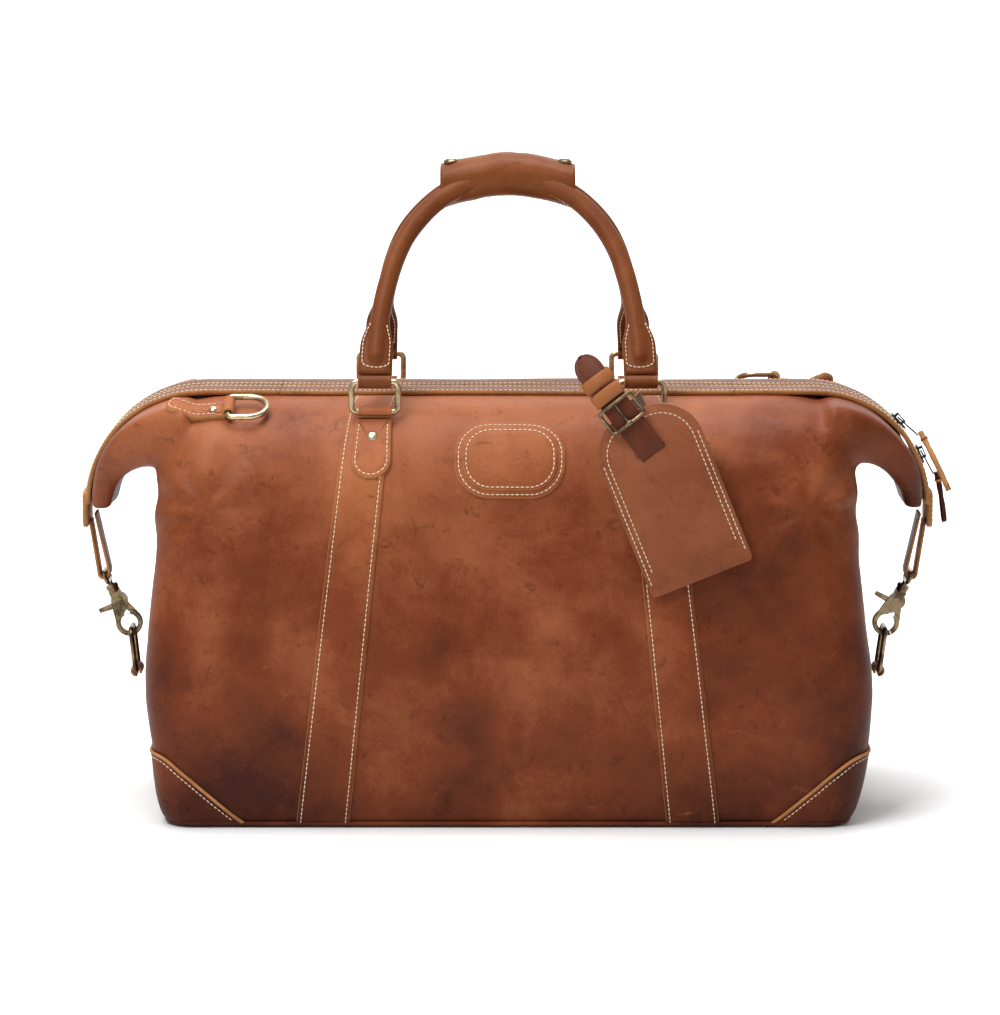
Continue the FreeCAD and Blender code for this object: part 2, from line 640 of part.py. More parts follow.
def make_hook(side, name):
    place = hook_place(side)
    screw = V(SCREW_V, 0, SCREW_W)
    cheek, slot = 2.9, 1.4
    claw = jaw_sector(98, 318, cheek)
    head = rod(V(SCREW_V, -cheek, SCREW_W), V(SCREW_V, cheek, SCREW_W), 6.2)
    neck = box(-4.2, 4.2, -cheek, cheek, SCREW_W, 26.0)
    web = prism([V(-6.0, -cheek, SCREW_W), V(5.5, -cheek, SCREW_W - 3), V(1.0, -cheek, 8.5), V(-8.6, -cheek, 4.4)],
                V(0, 2 * cheek, 0))
    gap = box(-12, 12, -slot, slot, 8.8, SCREW_W + 7.0)
    body = union([claw, head, neck, web]).cut(gap)
    body = union([body, rod(V(0, 0, 25.0), V(0, 0, 31.5), 4.3), rod(V(0, 0, 29.0), V(0, 0, 30.4), 4.8)])
    body = body.cut(rod(V(0, 0, 27.0), V(0, 0, 32.0), 2.2))
    body = body.cut(rod(V(SCREW_V, -5, SCREW_W), V(SCREW_V, 5, SCREW_W), 1.5))
    shank = rod(V(SCREW_V, -cheek, SCREW_W), V(SCREW_V, cheek, SCREW_W), 1.5)
    screw_head = rod(V(SCREW_V, -cheek - 1.4, SCREW_W), V(SCREW_V, -cheek, SCREW_W), 2.9)
    screw_head = screw_head.cut(box(-4, 4, -cheek - 2, -cheek - 0.7, SCREW_W - 0.4, SCREW_W + 0.4))
    pin = union([shank, screw_head])
    # gate: hub between the cheeks, arm down to the right half of the jaw, lever out to the left
    half = 1.1
    hub = rod(V(SCREW_V, -half, SCREW_W), V(SCREW_V, half, SCREW_W), 4.4)
    arm = prism([V(SCREW_V - 1.5, -half, SCREW_W), V(SCREW_V + 4.2, -half, SCREW_W), V(9.0, -half, 5.0),
                 V(5.2, -half, 5.0), V(1.4, -half, 10.6)], V(0, 2 * half, 0))
    arm = arm.cut(rod(V(0, -5, 0), V(0, 5, 0), JAW_IN))
    lip = jaw_sector(-40, 62, 2.3)
    lever = prism([V(-3.0, -half, 18.4), V(-16.6, -half, 18.4), V(-16.6, -half, 15.2), V(-3.0, -half, 13.4)],
                  V(0, 2 * half, 0))
    gate = union([hub, arm, lip, lever]).cut(rod(V(SCREW_V, -5, SCREW_W), V(SCREW_V, 5, SCREW_W), 1.58))
    # eye: post in the barrel, and a bow whose bar runs through the strap's loop
    half_bow = 3.6
    post = rod(V(0, 0, 27.4), V(0, 0, HOOK_LEN - 2 * half_bow), 1.9)
    bow_path = rounded_rectangle(12.0, half_bow, 2.2, lambda y, z: V(0, y, HOOK_LEN - half_bow + z))
    bow = wire_loop(bow_path, 1.7, V(0, 12.0, HOOK_LEN - 2.2), Z)
    eye = union([post, bow])
    for shape in (body, pin, gate, eye):
        shape.Placement = place.multiply(shape.Placement)
    save(f"{name}_hook", [body, pin])
    save(f"{name}_hook_gate", gate)
    return eye


def side_ring(side):
    """Ring between the hook's jaw and the tab on the end panel, its two long bars along Y."""
    across, along = hook_axes(side)
    top = hook_middle(side) + across * 0.4 - along * 3.9
    low = V(side * SIDE_LOW_X, 0, SIDE_LOW_Z)
    run = (low - top).normalize()
    middle, half = (top + low) / 2, (low - top).Length / 2
    path = rounded_rectangle(SIDE_SPAN / 2, half, 5.0, lambda y, s: middle + Y * y + run * s)
    return wire_loop(path, 1.9, middle + Y * (SIDE_SPAN / 2) + run * (half - 5.0), run)


def make_end_fittings():
    eyes, rings = [], []
    for side, name in ((-1, "left"), (1, "right")):
        eyes.append(make_hook(side, name))
        rings.append(side_ring(side))
    save("hook_eyes", eyes)
    save("side_rings", rings)
    # tab over each wing tip, and the strap looped through the hook's eye
    tip = ARC_X + TRACK_R
    tab = box(tip + 1.6, tip + 3.6, -20, 20, 204, 230)
    tab = tab.fuse(box(tip - 12, tip + 3.6, -20, 20, 212.6, 214.6)).removeSplitter()
    save("wing_end_tabs", both_ends(tab))
    x, z, width = EYE_X, EYE_Z, 20.0
    ring_out = rod(V(x, -width / 2, z), V(x, width / 2, z), 4.9)
    ring_in = rod(V(x, -width, z), V(x, width, z), 2.7)
    top_z = 212.0
    inner = prism([V(x - 4.9, -width / 2, z), V(x - 2.7, -width / 2, z), V(tip - 2.6, -width / 2, top_z),
                   V(tip - 4.8, -width / 2, top_z)], V(0, width, 0))
    outer = prism([V(x + 2.7, -width / 2, z), V(x + 4.9, -width / 2, z), V(tip - 0.2, -width / 2, 206.0),
                   V(tip - 2.4, -width / 2, 206.0)], V(0, width, 0))
    strap = union([ring_out, inner, outer]).cut(ring_in)
    save("hook_straps", both_ends(strap))
    x, z = SIDE_LOW_X, SIDE_LOW_Z
    ring_out = rod(V(x, -10, z), V(x, 10, z), 4.6)
    ring_in = rod(V(x, -20, z), V(x, 20, z), 2.3)
    tongue = body_form(LEATHER).cut(body_form(0)).common(box(240, 290, -10, 10, 30, 92))
    bridge = box(x - 12, x + 2.0, -10, 10, z - 8.5, z - 2.4).cut(body_form(0))
    tab = union([ring_out, tongue, bridge]).cut(ring_in)
    save("side_ring_tabs", both_ends(tab))


# ---------------------------------------------------------------- luggage tag
def tag_place():
    return FreeCAD.Placement(TAG_TOP, FreeCAD.Rotation(Y, -TAG_TILT))


def tag_plate(half, top, bottom, radius, y0, y1):
    """Plate with a rounded top, in the tag's own frame, its slot at the origin."""
    edges = [
        Part.makeLine(V(-half, y0, bottom), V(half, y0, bottom)),
        Part.makeLine(V(half, y0, bottom), V(half, y0, top - radius)),
        Part.Arc(
            V(half, y0, top - radius), V(half - radius * 0.293, y0, top - radius * 0.293), V(half - radius, y0, top)
        ).toShape(),
        Part.makeLine(V(half - radius, y0, top), V(-half + radius, y0, top)),
        Part.Arc(
            V(-half + radius, y0, top), V(-half + radius * 0.293, y0, top - radius * 0.293),
            V(-half, y0, top - radius),
        ).toShape(),
        Part.makeLine(V(-half, y0, top - radius), V(-half, y0, bottom)),
    ]
    return Part.Face(Part.Wire(edges)).extrude(V(0, y1 - y0, 0))


def make_tag():
    place = tag_place()
    top = 30.0
    slot = box(-11.6, 11.6, -10, 10, -2.6, 2.6)
    back = tag_plate(TAG_W / 2, top, top - TAG_L, TAG_R, 0.9, 2.7).cut(slot)
    card = tag_plate(24.0, -14.0, top - TAG_L + 10, 2.0, 0.3, 0.8)
    front = tag_plate(TAG_W / 2, top, top - TAG_L, TAG_R, -1.9, 0.2).cut(slot)
    for name, shape in (("tag_back", back), ("tag_card", card), ("tag_front", front)):
        shape.Placement = place.multiply(shape.Placement)
        save(name, shape)
    return slot


def ribbon(points, width_dir, width, thick):
    """Flat strap through points with a constant width direction, as a chain of ruled blocks."""
    sections = []
    for k, p in enumerate(points):
        before, after = points[max(k - 1, 0)], points[min(k + 1, len(points) - 1)]
        run = (after - before).normalize()
        normal = run.cross(width_dir).normalize()
        w, t = width_dir * (width / 2), normal * (thick / 2)
        sections.append(polygon([p - w - t, p + w - t, p + w + t, p - w + t]))
    return Part.makeLoft(sections, True, True)


def strap_axes():
    a = math.radians(STRAP_LEAN)
    up = V(-math.sin(a), 0, math.cos(a))
    return up, V(math.cos(a), 0, math.sin(a))


def make_tag_strap():
    up, wide = strap_axes()
    slot = TAG_TOP

    def at(s, y, w=0.0):
        p = slot + up * s + wide * w
        return V(p.x, y, p.z)

    front_y, thick = TAG_TOP.y - 5.2, 2.0
    front = ribbon([at(-3.5, front_y), at(50.0, front_y), at(66.0, front_y + 5), at(82, front_y + 14)],
                   wide, 20.0, thick)
    # bight through the tag's slot, in the tag's own frame
    bight = union([box(-9, 9, -6.0, 5.2, -0.9, 0.9), box(-9, 9, 3.4, 5.2, -0.9, 26.0)])
    bight.Placement = tag_place()
    save("tag_strap", union([front, bight]))
    buckle_y = front_y - 2.6
    buckle_path = rounded_rectangle(13.2, 8.6, 2.0, lambda w, s: at(34 + s, buckle_y, w))
    frame = wire_loop(buckle_path, 1.2, at(34 + 6.6, buckle_y, 13.2), up)
    prong = rod(at(25.6, buckle_y), at(42.4, buckle_y), 0.9)
    save("tag_buckle", union([frame, prong]))
    keepers = []
    for s_mid in (50.0, 62.0):
        outer = ribbon([at(s_mid - 3.2, front_y), at(s_mid + 3.2, front_y)], wide, 24.4, 5.8)
        inner = ribbon([at(s_mid - 9, front_y), at(s_mid + 9, front_y)], wide, 20.6, 2.6)
        if s_mid > 56:
            outer.translate(V(0, 3.7, 0))
            inner.translate(V(0, 3.7, 0))
        keepers.append(outer.cut(inner).cut(front))
    save("tag_keepers", keepers)


def main():
    os.makedirs("parts", exist_ok=True)
    make_panels()
    make_insides()
    make_base_piping()
    make_straps()
    make_corner_patches()
    make_patch()
    make_zip()
    make_sliders()
    make_rings()
    make_bag_tabs()
    make_grip(make_handles())
    make_rivets(make_drings())
    make_end_fittings()
    make_tag()
    make_tag_strap()


main()
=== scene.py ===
"""Looks of the leather weekender bag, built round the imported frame. Lengths in the code are millimetres."""

import math
import random
import bmesh
import bpy
from mathutils import Matrix, Vector, noise
from mathutils.bvhtree import BVHTree


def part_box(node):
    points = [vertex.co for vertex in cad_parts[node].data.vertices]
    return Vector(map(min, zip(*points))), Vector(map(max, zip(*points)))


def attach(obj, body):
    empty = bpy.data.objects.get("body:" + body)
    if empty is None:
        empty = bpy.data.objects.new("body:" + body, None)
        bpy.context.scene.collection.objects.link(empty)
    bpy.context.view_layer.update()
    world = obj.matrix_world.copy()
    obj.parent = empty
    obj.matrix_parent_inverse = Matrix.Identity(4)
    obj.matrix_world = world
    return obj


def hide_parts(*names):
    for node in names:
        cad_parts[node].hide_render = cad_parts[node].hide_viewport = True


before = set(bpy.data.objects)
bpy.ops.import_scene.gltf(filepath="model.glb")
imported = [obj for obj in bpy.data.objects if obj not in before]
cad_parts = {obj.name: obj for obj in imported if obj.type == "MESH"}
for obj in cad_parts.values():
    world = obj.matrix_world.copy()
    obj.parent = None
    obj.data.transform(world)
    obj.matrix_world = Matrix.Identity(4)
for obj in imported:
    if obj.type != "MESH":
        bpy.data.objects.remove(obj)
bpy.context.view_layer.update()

MM = 0.001
V = Vector
X, Y, Z = V((1, 0, 0)), V((0, 1, 0)), V((0, 0, 1))
random.seed(7)

# ------------------------------------------------------------------ dimensions shared with the frame, mm
HEIGHT = 303.5
LEVELS = [
    (0.0, 240, 104, 16), (8.0, 249, 112, 18), (40.0, 256, 118, 24), (110.0, 261, 124, 30),
    (190.0, 254, 119, 34), (240.0, 251, 112, 38), (262.0, 249, 106, 38), (280.0, 243, 96, 36),
    (291.0, 236, 84, 34), (298.0, 228, 69, 32), (302.0, 218, 52, 30), (HEIGHT, 208, 40, 26),
]
ARC_X, ARC_Z, TRACK_R, WING_R = 222.0, 220.0, 86.0, 83.5
TRACK_Z = ARC_Z + TRACK_R
WING_STATIONS = [(6, 90, 30, 9), (28, 80, 42, 9), (50, 64, 55, 8), (70, 48, 63, 7), (92, 30, 67, 6)]
STRIP_HALF, STRIP_TIP = 34.0, 22.0
MOUTH_X = 165.0
RING_X, RING_Y, RING_LOW, RING_RISE = 95.0, 84.0, 298.5, 21.4
PIVOT_Z = RING_LOW + RING_RISE
GRIP_Y, STEM = 9.0, 18.0
ARCH = [(2, 17, 287.0), (17, 48, 104.0), (48, 90, 78.0)]
GRIP_HALF, GRIP_LOW, GRIP_HIGH, GRIP_DEPTH = 49.0, 446.5, 472.5, 18.5
TAG_TILT, TAG_TOP = 22.0, V((101.0, -126.4, 277.5))
TAG_W, TAG_L, TAG_R = 77.0, 130.0, 31.0


# ------------------------------------------------------------------ materials
class Nodes:
    """Short way to build a node material."""

    def __init__(self, name):
        self.material = bpy.data.materials.new(name)
        self.material.use_nodes = True
        self.tree = self.material.node_tree
        self.shader = self.tree.nodes["Principled BSDF"]
        self.coords = self.new("ShaderNodeTexCoord").outputs["Object"]

    def new(self, kind, **settings):
        node = self.tree.nodes.new(kind)
        for key, value in settings.items():
            setattr(node, key, value)
        return node

    def join(self, source, target):
        self.tree.links.new(source, target)

    def scaled(self, scale, turn=(0, 0, 0)):
        node = self.new("ShaderNodeMapping")
        node.inputs["Scale"].default_value = scale
        node.inputs["Rotation"].default_value = turn
        self.join(self.coords, node.inputs["Vector"])
        return node.outputs["Vector"]

    def noise(self, scale, detail=4.0, rough=0.55, vector=None, distortion=0.0):
        node = self.new("ShaderNodeTexNoise")
        node.inputs["Scale"].default_value = scale
        node.inputs["Detail"].default_value = detail
        node.inputs["Roughness"].default_value = rough
        node.inputs["Distortion"].default_value = distortion
        self.join(vector or self.coords, node.inputs["Vector"])
        return node.outputs["Fac"]

    def cells(self, scale, feature="F1", vector=None):
        node = self.new("ShaderNodeTexVoronoi", feature=feature)
        node.inputs["Scale"].default_value = scale
        self.join(vector or self.coords, node.inputs["Vector"])
        return node.outputs["Distance"]

    def ramp(self, fac, stops):
        node = self.new("ShaderNodeValToRGB")
        elements = node.color_ramp.elements
        while len(elements) < len(stops):
            elements.new(0.5)
        for element, (at, value) in zip(elements, stops):
            element.position = at
            element.color = (value, value, value, 1) if isinstance(value, (int, float)) else (*value, 1)
        self.join(fac, node.inputs["Fac"])
        return node.outputs["Color"]

    def blend(self, fac, a, b, mode="MIX"):
        node = self.new("ShaderNodeMix", data_type="RGBA", blend_type=mode)
        for socket, value in ((0, fac), (6, a), (7, b)):
            if isinstance(value, bpy.types.NodeSocket):
                self.join(value, node.inputs[socket])
            elif isinstance(value, (int, float)):
                node.inputs[socket].default_value = value
            else:
                node.inputs[socket].default_value = (*value, 1)
        return node.outputs[2]

    def math(self, kind, a, b=0.5, clamp=False):
        node = self.new("ShaderNodeMath", operation=kind, use_clamp=clamp)
        for socket, value in ((0, a), (1, b)):
            if isinstance(value, bpy.types.NodeSocket):
                self.join(value, node.inputs[socket])
            else:
                node.inputs[socket].default_value = value
        return node.outputs[0]

    def bump(self, height, strength, distance, normal=None):
        node = self.new("ShaderNodeBump")
        node.inputs["Strength"].default_value = strength
        node.inputs["Distance"].default_value = distance
        self.join(height, node.inputs["Height"])
        if normal is not None:
            self.join(normal, node.inputs["Normal"])
        return node.outputs["Normal"]


def leather(name, light, middle, dark, painted_shading=True, wax=0.42, grain=1.0):
    """Waxed pull-up leather: cloudy colour, paler where rubbed, fine grain; with painted_shading on, a painted
    highlight lighter towards the top and painted shade darker low down, towards both ends and to the right.
    """
    n = Nodes(name)
    cloud = n.noise(7.5, 5.0, 0.55, distortion=0.35)
    patch = n.noise(30.0, 5.0, 0.62, distortion=0.2)
    fine = n.noise(420.0, 3.0, 0.6)
    mixed = n.math("ADD", n.math("MULTIPLY", cloud, 0.66), n.math("MULTIPLY", patch, 0.26))
    mixed = n.math("ADD", mixed, n.math("MULTIPLY", fine, 0.10))
    split = n.new("ShaderNodeSeparateXYZ")
    n.join(n.coords, split.inputs[0])
    if painted_shading:
        # painted highlight and painted shade: lighter towards the top, darker low down
        rise = n.math("MULTIPLY", n.math("SUBTRACT", split.outputs["Z"], 0.165), 0.80)
        mixed = n.math("ADD", mixed, rise)
        # painted shade: darker towards both ends
        wide = n.math("MULTIPLY", split.outputs["X"], split.outputs["X"])
        mixed = n.math("ADD", mixed, n.math("SUBTRACT", 0.045, n.math("MULTIPLY", wide, 1.9)))
        # painted shade: darker to the right
        mixed = n.math("SUBTRACT", mixed, n.math("MULTIPLY", split.outputs["X"], 0.22))
    colour = n.ramp(mixed, [(0.30, dark), (0.50, middle), (0.74, light)])
    scuff = n.noise(26.0, 7.0, 0.72, vector=n.scaled((1.0, 1.3, 2.0), (0.3, 0.2, 0.5)), distortion=0.6)
    pale = tuple(min(1.0, c * 1.35 + 0.012) for c in light)
    colour = n.blend(n.ramp(scuff, [(0.62, 0.0), (0.80, 0.42)]), colour, pale)
    mark = n.noise(70.0, 8.0, 0.75, distortion=1.2)
    colour = n.blend(n.ramp(mark, [(0.35, 0.45), (0.43, 0.0)]), colour, dark)
    n.join(colour, n.shader.inputs["Base Color"])
    rough = n.math("ADD", n.math("MULTIPLY", patch, 0.26), wax - 0.06)
    n.join(rough, n.shader.inputs["Roughness"])
    n.shader.inputs["Specular IOR Level"].default_value = 0.13
    n.shader.inputs["Coat Weight"].default_value = 0.02
    n.shader.inputs["Coat Roughness"].default_value = 0.35
    normal = n.bump(n.cells(1500.0), 0.16 * grain, 0.0004)
    normal = n.bump(n.noise(650.0, 4.0, 0.6), 0.22 * grain, 0.0005, normal)
    wrinkle = n.noise(60.0, 6.0, 0.62, distortion=0.8)
    normal = n.bump(wrinkle, 0.22 * grain, 0.0016, normal)
    n.join(normal, n.shader.inputs["Normal"])
    return n.material


def edge_leather(name, colour):
    """Raw cut edge or flesh side: fibrous, paler, matt."""
    n = Nodes(name)
    fibre = n.noise(900.0, 5.0, 0.7)
    deep = tuple(c * 0.45 for c in colour)
    n.join(n.ramp(n.math("ADD", n.math("MULTIPLY", fibre, 0.6), n.math("MULTIPLY", n.noise(45.0), 0.4)),
                  [(0.36, deep), (0.56, colour)]), n.shader.inputs["Base Color"])
    n.shader.inputs["Roughness"].default_value = 0.78
    n.join(n.bump(fibre, 0.5, 0.0004), n.shader.inputs["Normal"])
    return n.material


def thread_material(name, colour):
    n = Nodes(name)
    twist = n.new("ShaderNodeTexWave")
    twist.inputs["Scale"].default_value = 900.0
    twist.inputs["Distortion"].default_value = 1.0
    n.join(n.scaled((1, 1, 1), (0.6, 0.4, 0.7)), twist.inputs["Vector"])
    soil = n.noise(60.0, 4.0)
    n.join(n.blend(n.ramp(soil, [(0.45, 0.0), (0.7, 0.6)]), colour, tuple(c * 0.62 for c in colour)),
           n.shader.inputs["Base Color"])
    n.shader.inputs["Roughness"].default_value = 0.7
    n.join(n.bump(twist.outputs["Fac"], 0.5, 0.0002), n.shader.inputs["Normal"])
    return n.material


def cloth(name, colour, scale=900.0):
    """Woven cloth: two crossed waves."""
    n = Nodes(name)
    waves = []
    for turn in ((0, 0, 0), (0, 0, math.pi / 2)):
        wave = n.new("ShaderNodeTexWave")
        wave.inputs["Scale"].default_value = scale / 3.0
        n.join(n.scaled((1, 1, 1), turn), wave.inputs["Vector"])
        waves.append(wave.outputs["Fac"])
    weave = n.math("MAXIMUM", waves[0], waves[1])
    tone = n.math("ADD", n.math("MULTIPLY", weave, 0.5), n.math("MULTIPLY", n.noise(25.0, 5.0), 0.5))
    deep = tuple(c * 0.55 for c in colour)
    n.join(n.ramp(tone, [(0.25, deep), (0.75, colour)]), n.shader.inputs["Base Color"])
    n.shader.inputs["Roughness"].default_value = 0.9
    n.shader.inputs["Sheen Weight"].default_value = 0.25
    n.join(n.bump(weave, 0.4, 0.0003), n.shader.inputs["Normal"])
    return n.material


def metal(name, colour, dull, rough=0.27, metallic=1.0):
    """Cast fitting: polished high spots over a darker, duller patina, with fine scratches."""
    n = Nodes(name)
    tarnish = n.ramp(n.noise(85.0, 6.0, 0.65), [(0.42, 0.0), (0.62, 1.0)])
    n.join(n.blend(tarnish, colour, dull), n.shader.inputs["Base Color"])
    n.shader.inputs["Metallic"].default_value = metallic
    dullness = n.math("ADD", n.math("MULTIPLY", n.noise(140.0, 5.0), 0.28), rough - 0.08)
    n.join(dullness, n.shader.inputs["Roughness"])
    scratch = n.noise(160.0, 4.0, 0.7, vector=n.scaled((1.0, 6.0, 1.0), (0.4, 0.1, 0.9)))
    n.join(n.bump(scratch, 0.14, 0.0002), n.shader.inputs["Normal"])
    return n.material


# body and trim leather carry leather()'s painted highlight and painted shade; the other leathers do not
BODY = leather("body_leather", (0.330, 0.105, 0.040), (0.150, 0.031, 0.0080), (0.043, 0.0066, 0.0015))
TRIM = leather("trim_leather", (0.370, 0.120, 0.045), (0.170, 0.037, 0.0095), (0.052, 0.0084, 0.0019))
HANDLE = leather("handle_leather", (0.250, 0.080, 0.020), (0.140, 0.036, 0.0080),
                 (0.060, 0.0120, 0.0028), False, 0.40)
STRAPSKIN = leather("strap_leather", (0.150, 0.040, 0.016), (0.085, 0.019, 0.007),
                    (0.040, 0.008, 0.003), False, 0.34)
STRIPSKIN = leather("zip_strip_leather", (0.230, 0.082, 0.026), (0.130, 0.036, 0.009),
                    (0.062, 0.013, 0.003), False, 0.42)
KEEPER = leather("keeper_leather", (0.40, 0.160, 0.060), (0.280, 0.095, 0.030),
                 (0.150, 0.042, 0.012), False, 0.42)
TAGSKIN = leather("tag_leather", (0.330, 0.118, 0.060), (0.230, 0.068, 0.027),
                  (0.120, 0.028, 0.009), False, 0.42)
EDGE = edge_leather("raw_edge", (0.44, 0.185, 0.052))
FLESH = edge_leather("flesh_side", (0.36, 0.16, 0.068))
THREAD = thread_material("off_white_thread", (0.74, 0.60, 0.42))
BRASS = metal("antique_brass", (0.27, 0.20, 0.115), (0.065, 0.046, 0.027), 0.24)
GILT = metal("light_brass", (0.66, 0.54, 0.34), (0.30, 0.22, 0.12), 0.20)
TEETH = metal("zip_teeth", (0.20, 0.145, 0.08), (0.05, 0.038, 0.026), 0.35)
BLACK = metal("black_enamel", (0.012, 0.012, 0.013), (0.03, 0.028, 0.026), 0.30, 0.25)
LINING = cloth("lining_cloth", (0.34, 0.25, 0.15))
TAPE = cloth("zip_tape", (0.075, 0.035, 0.018), 1600.0)
BOARD = edge_leather("fibre_board", (0.30, 0.25, 0.19))


# ------------------------------------------------------------------ mesh helpers
def new_object(name, verts, faces, materials, face_material=None):
    """Mesh object from millimetre points; faces all face outwards and are shaded smooth."""
    mesh = bpy.data.meshes.new(name)
    mesh.from_pydata([V(v) * MM for v in verts], [], faces)
    for m in materials:
        mesh.materials.append(m)
    if face_material:
        mesh.polygons.foreach_set("material_index", face_material)
    mesh.polygons.foreach_set("use_smooth", [True] * len(mesh.polygons))
    bm = bmesh.new()
    bm.from_mesh(mesh)
    bmesh.ops.recalc_face_normals(bm, faces=bm.faces)
    bm.to_mesh(mesh)
    bm.free()
    mesh.update()
    obj = bpy.data.objects.new(name, mesh)
    bpy.context.scene.collection.objects.link(obj)
    return obj


class Build:
    """Collects several closed shapes into one object."""

    def __init__(self):
        self.verts, self.faces, self.slots = [], [], []

    def add(self, verts, faces, slots=None):
        base = len(self.verts)
        self.verts += [V(v) for v in verts]
        self.faces += [tuple(base + i for i in f) for f in faces]
        self.slots += slots or [0] * len(faces)

    def tube(self, points, radius, sides=12, closed=False, slot=0, shape=None):
        """Tube along points. shape(k, angle) may give another radius."""
        n = len(points)
        rows = []
        normal = None
        for k, p in enumerate(points):
            if closed:
                run = (points[(k + 1) % n] - points[k - 1]).normalized()
            else:
                run = (points[min(k + 1, n - 1)] - points[max(k - 1, 0)]).normalized()
            if normal is None:
                normal = run.orthogonal().normalized()
            normal = (normal - run * normal.dot(run)).normalized()
            side = run.cross(normal)
            row = []
            for j in range(sides):
                a = 2 * math.pi * j / sides
                r = shape(k, a) if shape else radius
                row.append(p + (normal * math.cos(a) + side * math.sin(a)) * r)
            rows.append(row)
        self.rows(rows, closed, slot)

    def rows(self, rows, closed=False, slot=0):
        """Skin over closed rows of equal count, capped at the ends unless closed."""
        n, m = len(rows), len(rows[0])
        verts = [v for row in rows for v in row]
        faces = []
        for k in range(n if closed else n - 1):
            for j in range(m):
                a, b = k * m + j, k * m + (j + 1) % m
                c, d = ((k + 1) % n) * m + (j + 1) % m, ((k + 1) % n) * m + j
                faces.append((a, b, c, d))
        if not closed:
            faces.append(tuple(range(m)))
            faces.append(tuple(reversed(range((n - 1) * m, n * m))))
        self.add(verts, faces, [slot] * len(faces))

    def make(self, name, materials):
        return new_object(name, self.verts, self.faces, materials, self.slots)


def stitch(build, points, normals, pitch=3.5, length=2.7, radius=0.42, slot=0, lift=0.12):
    """Row of separate thread stitches along a line of points on a surface."""
    marks = [0.0]
    for a, b in zip(points, points[1:]):
        marks.append(marks[-1] + (b - a).length)
    total = marks[-1]
    count = max(1, int(total / pitch))
    step = total / count

    def at(d):
        lo, hi = 0, len(marks) - 1
        while lo < hi - 1:
            mid = (lo + hi) // 2
            if marks[mid] <= d:
                lo = mid
            else:
                hi = mid
        k = lo
        span = marks[k + 1] - marks[k]
        t = min(1.0, max(0.0, (d - marks[k]) / span)) if span > 1e-6 else 0.0
        return points[k].lerp(points[k + 1], t), normals[k].lerp(normals[k + 1], t).normalized()

    for i in range(count):
        mid = (i + 0.5) * step
        rows = []
        for f, size, drop in ((-0.5, 0.45, -0.25), (-0.34, 0.95, 0.0), (0.0, 1.05, 0.10), (0.34, 0.95, 0.0),
                              (0.5, 0.45, -0.25)):
            p, up = at(min(total, max(0.0, mid + f * length)))
            q, _ = at(min(total, max(0.0, mid + f * length + 0.3)))
            o, _ = at(min(total, max(0.0, mid + f * length - 0.3)))
            run = (q - o)
            if run.length < 1e-6:
                continue
            side = up.cross(run.normalized())
            fat = radius * size
            rows.append([p + up * (lift + drop + fat * math.cos(a)) + side * fat * math.sin(a)
                         for a in (math.pi * k / 3 for k in range(6))])
        if len(rows) > 2:
            build.rows(rows, slot=slot)


def catmull(values, t):
    """Smooth value between tuples at a real index t."""
    n = len(values)
    k = min(max(int(math.floor(t)), 0), n - 2)
    f = t - k
    p0, p1, p2, p3 = values[max(k - 1, 0)], values[k], values[k + 1], values[min(k + 2, n - 1)]
    out = []
    for a, b, c, d in zip(p0, p1, p2, p3):
        out.append(0.5 * (2 * b + (c - a) * f + (2 * a - 5 * b + 4 * c - d) * f * f
                          + (3 * b - 3 * c + d - a) * f ** 3))
    return out


def plan_ring(half_x, half_y, radius, count):
    """Evenly spaced points round a rounded rectangle with their outward directions, from the front's middle."""
    total = 4 * (half_x - radius) + 4 * (half_y - radius) + 2 * math.pi * radius
    return [plan_point(half_x, half_y, radius, total * k / count) for k in range(count)]


def plan_point(half_x, half_y, radius, u):
    """Point and outward direction at a distance u round a rounded rectangle, rightwards from its front's middle."""
    if u < 0:
        (x, y), (nx, ny) = plan_point(half_x, half_y, radius, -u)
        return (-x, y), (-nx, ny)
    sx, sy = half_x - radius, half_y - radius
    quarter = math.pi * radius / 2
    x, y = 0.0, -half_y
    for (nx, ny), run in zip(((0, -1), (1, 0), (0, 1), (-1, 0), (0, -1)), (sx, 2 * sy, 2 * sx, 2 * sy, sx)):
        if u <= run or (nx, ny, x < 0) == (0, -1, True):
            return (x - ny * u, y + nx * u), (float(nx), float(ny))
        x, y, u = x - ny * run, y + nx * run, u - run
        if u <= quarter:
            a = u / radius
            c, d = math.cos(a), math.sin(a)
            out = (nx * c - ny * d, ny * c + nx * d)
            return (x - radius * nx + radius * out[0], y - radius * ny + radius * out[1]), out
        x, y, u = x - radius * (nx + ny), y + radius * (nx - ny), u - quarter
    return (0.0, -half_y), (0.0, -1.0)


# ------------------------------------------------------------------ body shell
def body_rows(grow=0.0, count=240, per=7, last=None):
    """Rings of the body form, smooth between its levels."""
    rows = []
    top = last if last is not None else len(LEVELS) - 1
    for k in range(top * per + 1):
        z, a, b, r = catmull(LEVELS, k / per)
        z = max(0.0, z)
        ring = plan_ring(a + grow, b + grow, max(4.0, r + grow), count)
        rows.append([V((x, y, z)) for (x, y), _ in ring])
    return rows


def wing_rows(side, count=96, per=7):
    rows = []
    for k in range((len(WING_STATIONS) - 1) * per + 1):
        angle, half, inner, rounding = catmull(WING_STATIONS, k / per)
        a = math.radians(angle)
        mid, reach = (inner + WING_R) / 2, (WING_R - inner) / 2
        row = []
        for (u, v), _ in plan_ring(half, reach, min(rounding, reach - 0.3), count):
            r = mid + v
            row.append(V((side * (ARC_X + r * math.sin(a)), u, ARC_Z + r * math.cos(a))))
        rows.append(row)
    return rows


